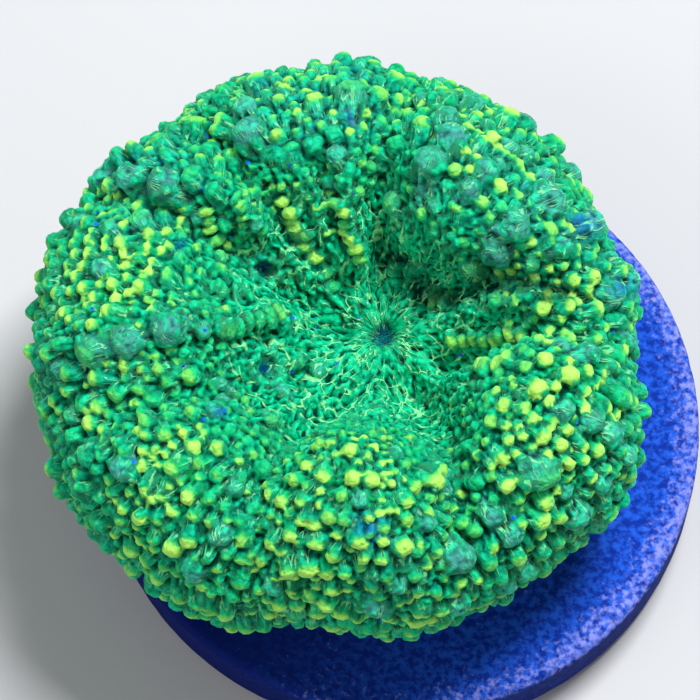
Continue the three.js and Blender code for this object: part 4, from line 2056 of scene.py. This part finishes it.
    def blues(self, points: np.ndarray) -> np.ndarray:
        """How far each point lies in a blue shade.

        Args:
            points: the skin's points.

        Returns:
            Numbers from 0 to 1.
        """
        found = np.zeros(len(points))
        form = self.shading
        ragged = form.blue_ragged * noise(points * form.blue_scale, Seed.BLUE)
        pixels = self.view.pixels(points + self.offset)
        for column, row, size in SEEN_BLUE:
            middle = self.points[self.seen((column, row))]
            away = np.linalg.norm(pixels - (column, row), axis=1) / size + ragged
            shade = form.blue_wide_share * (1 - smoothstep(away, *form.blue_wide))
            shade += form.blue_core_share * (1 - smoothstep(away, *form.blue_core))
            near = np.linalg.norm(points - middle, axis=1) < self.blue_depth
            found = np.maximum(found, shade * near)
        return found

    def lips(self, points: np.ndarray) -> np.ndarray:
        """How far each point lies on the ruffled lip of a side mouth.

        Args:
            points: the skin's points.

        Returns:
            Numbers from 0 to 1.
        """
        found = np.zeros(len(points))
        for middle, radius in self.mouth_spots[1:]:
            away = np.linalg.norm(points - middle, axis=1) / radius - self.lip_reach
            found = np.maximum(found, np.exp(-((away / self.lip_width) ** 2)))
        return found

    def mouths(self, points: np.ndarray) -> np.ndarray:
        """How far each point lies in a mouth.

        Args:
            points: the skin's points.

        Returns:
            Numbers from 0 to 1.
        """
        found = np.zeros(len(points))
        form = self.shading
        ragged = form.mouth_ragged * noise(points * form.mouth_scale, Seed.MOUTHS)
        for middle, radius in self.mouth_spots:
            away = np.linalg.norm(points - middle, axis=1) / radius
            found = np.maximum(found, 1 - smoothstep(away + ragged, *form.mouth))
        return found * form.mouth_most

    def cool(self, points: np.ndarray) -> np.ndarray:
        """How far each point lies in cooler flesh.

        Args:
            points: the skin's points.

        Returns:
            Numbers from 0 to 1.
        """
        found = np.zeros(len(points))
        for column, row, size in SEEN_COOL:
            away = self.away_from(points, (column, row), size)
            found = np.maximum(found, 1 - smoothstep(away, *self.shading.cool))
        return found


@dataclass
class CeramicDisc:
    """The round disc under the coral, turned and finely pitted."""

    finish: CeramicFinish = field(default_factory=CeramicFinish)
    segments: int = 240
    under_rings: int = 12
    side_rings: int = 12
    edge_rings: int = 7
    top_rings: int = 64
    edge: float = 0.6  # mm
    foot_edge: float = 0.9  # mm
    pitting: float = 0.06  # mm
    pit_scales: Pair = (1.5, 3.5)  # pits a millimetre, coarse and fine
    pit_shares: Pair = (0.6, 0.4)
    top_fades: Pair = (1.5, 0.4)  # below the top, of the edge
    # The bloom is palest, and the top is painted most lit, towards this way.
    bloom_and_light_way: Place = (0.97, -0.24)  # towards which its top is palest
    bloom_reach: Pair = (0.84, 0.99)  # of the radius
    bloom_facing: Pair = (-0.5, 0.9)
    bloom_patch: float = 0.2
    bloom_scale: float = 0.25
    lit_facing: Pair = (-0.5, 0.7)
    lit_side: float = 0.25  # how well the side is lit, of the top

    def build(self) -> bpy.types.Object:
        """Turn, pit and paint the disc.

        Returns:
            The disc's object.
        """
        low, high = (np.array(corner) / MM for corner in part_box("ceramic_disc"))
        radius = (high[0] - low[0]) / 2
        height = high[2] - low[2]
        rings = self.outline(radius, height)[1:-1]
        angles = np.arange(self.segments) * 2 * math.pi / self.segments
        turned = np.empty((len(rings), self.segments, 3))
        turned[..., 0] = rings[:, :1] * np.cos(angles)
        turned[..., 1] = rings[:, :1] * np.sin(angles)
        turned[..., 2] = rings[:, 1:]
        points = np.concatenate((turned.reshape(-1, 3), ((0, 0, 0), (0, 0, height))))
        mesh = mesh_of("ceramic_disc_fine", points, self.triangles(len(rings)))
        points += normals_of(mesh) * self.pits(points)[:, None]
        self.paint_bloom_and_light(mesh, points, radius, height)
        middle = (low + high) / 2
        move_points(mesh, (points + (middle[0], middle[1], low[2])) * MM)
        smooth_faces(mesh)
        mesh.materials.append(self.finish.material())
        piece = bpy.data.objects.new("disc", mesh)
        bpy.context.scene.collection.objects.link(piece)
        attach(piece, "root")
        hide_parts("ceramic_disc")
        return piece

    def pits(self, points: np.ndarray) -> np.ndarray:
        """How far the disc is pitted above its foot.

        Args:
            points: its points.

        Returns:
            Millimetres outwards at each, 0 or less.
        """
        coarse, fine = self.pit_scales
        coarse_share, fine_share = self.pit_shares
        grain = coarse_share * noise(points * coarse, Seed.PITS)
        grain += fine_share * noise(points * fine, Seed.FINE_PITS)
        inward = np.minimum(grain, 0) * self.pitting
        inward[points[:, 2] < self.foot_edge] = 0
        return inward

    def paint_bloom_and_light(
        self, mesh: bpy.types.Mesh, points: np.ndarray, radius: float, height: float
    ) -> None:
        """Keep where the disc's bloom spreads, and its painted light: how well lit each place
        looks.

        Args:
            mesh: the disc.
            points: its points.
            radius: the disc's radius.
            height: its thickness.
        """
        reach = np.hypot(points[:, 0], points[:, 1]) / radius
        facing = (points[:, 0] * self.bloom_and_light_way[0] + points[:, 1] * self.bloom_and_light_way[1]) / radius
        low, high = (height - self.edge * share for share in self.top_fades)
        on_top = smoothstep(points[:, 2], low, high)
        bloom_spread = smoothstep(reach, *self.bloom_reach) * smoothstep(facing, *self.bloom_facing) * on_top
        bloom_spread += self.bloom_patch * noise(points * self.bloom_scale, Seed.WEAR)
        paint(mesh, "bloom_spread", np.clip(bloom_spread, 0, 1))
        lit = self.lit_side + (1 - self.lit_side) * on_top
        paint(mesh, "lit", smoothstep(facing, *self.lit_facing) * lit)

    def outline(self, radius: float, height: float) -> np.ndarray:
        """The disc's section, from the middle of its underside to the middle of its top.

        Args:
            radius: the disc's radius.
            height: its thickness.

        Returns:
            Points as radius and height.
        """
        under = [(r, 0.0) for r in np.linspace(0, radius - self.foot_edge, self.under_rings)]
        heights = np.linspace(self.foot_edge, height - self.edge, self.side_rings)
        side = [(radius, z) for z in heights]
        arc = [
            (radius - self.edge * (1 - math.cos(a)), height - self.edge * (1 - math.sin(a)))
            for a in np.linspace(0, math.pi / 2, self.edge_rings)[1:]
        ]
        over = [(r, height) for r in np.linspace(radius - self.edge, 0, self.top_rings)[1:]]
        return np.array(under + side + arc + over)

    def triangles(self, rings: int) -> np.ndarray:
        """The triangles between the rings, and the fans that close them.

        Args:
            rings: how many rings there are.

        Returns:
            Triples of places in the list of points.
        """
        here = np.arange(self.segments)
        there = (here + 1) % self.segments
        made = []
        for ring in range(rings - 1):
            low = ring * self.segments
            high = low + self.segments
            made.append(np.column_stack((low + here, low + there, high + there)))
            made.append(np.column_stack((low + here, high + there, high + here)))
        bottom = np.full(self.segments, rings * self.segments)
        last = (rings - 1) * self.segments
        made.append(np.column_stack((bottom, there, here)))
        made.append(np.column_stack((bottom + 1, last + here, last + there)))
        return np.concatenate(made)


@dataclass(frozen=True)
class Lamp:
    """A soft square light that looks at the coral, in metres and watts."""

    name: str
    place: tuple[float, float, float]
    size: float
    power: float

    def make(self, target: Vector) -> None:
        """Add the light, turned to a target.

        Args:
            target: where it looks, in metres.
        """
        data = bpy.data.lights.new(self.name, "AREA")
        data.size = self.size
        data.energy = self.power
        lamp = bpy.data.objects.new(self.name, data)
        lamp.location = self.place
        lamp.rotation_euler = (target - lamp.location).to_track_quat("-Z", "Y").to_euler()
        bpy.context.scene.collection.objects.link(lamp)


@dataclass
class Studio:
    """A pale floor and soft light."""

    floor_size: float = 1.2
    floor_colour: Colour = (0.48, 0.49, 0.51)
    floor_roughness: float = 0.9
    sky: Colour = (1.0, 1.0, 1.0)
    sky_strength: float = 0.26
    lamps: tuple[Lamp, ...] = (
        Lamp("key", (0.08, 0.10, 0.30), 0.1, 1.58),
        Lamp("fill", (-0.20, -0.14, 0.24), 0.25, 0.36),
    )

    def build(self, view: View) -> None:
        """Lay the floor and set the lights.

        Args:
            view: the point of view, at whose target the lights look.
        """
        half = self.floor_size / 2
        corners = np.array(((-half, -half, 0), (half, -half, 0), (half, half, 0), (-half, half, 0)))
        mesh = mesh_of("floor", corners, np.array(((0, 1, 2), (0, 2, 3))))
        floor = bpy.data.objects.new("floor", mesh)
        shader = Shader("floor")
        shader.set(shader.surface.inputs["Base Color"], self.floor_colour)
        shader.set(shader.surface.inputs["Roughness"], self.floor_roughness)
        mesh.materials.append(shader.material)
        bpy.context.scene.collection.objects.link(floor)
        target = Vector(view.target) * MM
        for lamp in self.lamps:
            lamp.make(target)
        world = bpy.data.worlds.new("sky")
        world.use_nodes = True
        background = world.node_tree.nodes["Background"].inputs
        background["Color"].default_value = (*self.sky, 1.0)
        background["Strength"].default_value = self.sky_strength
        bpy.context.scene.world = world
        bpy.context.scene.view_settings.view_transform = "Standard"


def main() -> None:
    """Build the coral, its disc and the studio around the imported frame."""
    logging.basicConfig(level=logging.INFO, format="%(name)s %(message)s")
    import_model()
    view = View()
    view.make_camera()
    Studio().build(view)
    disc = CeramicDisc().build()
    log.info("piece %s: %d triangles", disc.name, triangles_of(disc.data))
    coral = Coral(view).build(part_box("ceramic_disc")[1][2])
    log.info("piece %s: %d triangles", coral.name, triangles_of(coral.data))


if __name__ == "__main__":
    main()
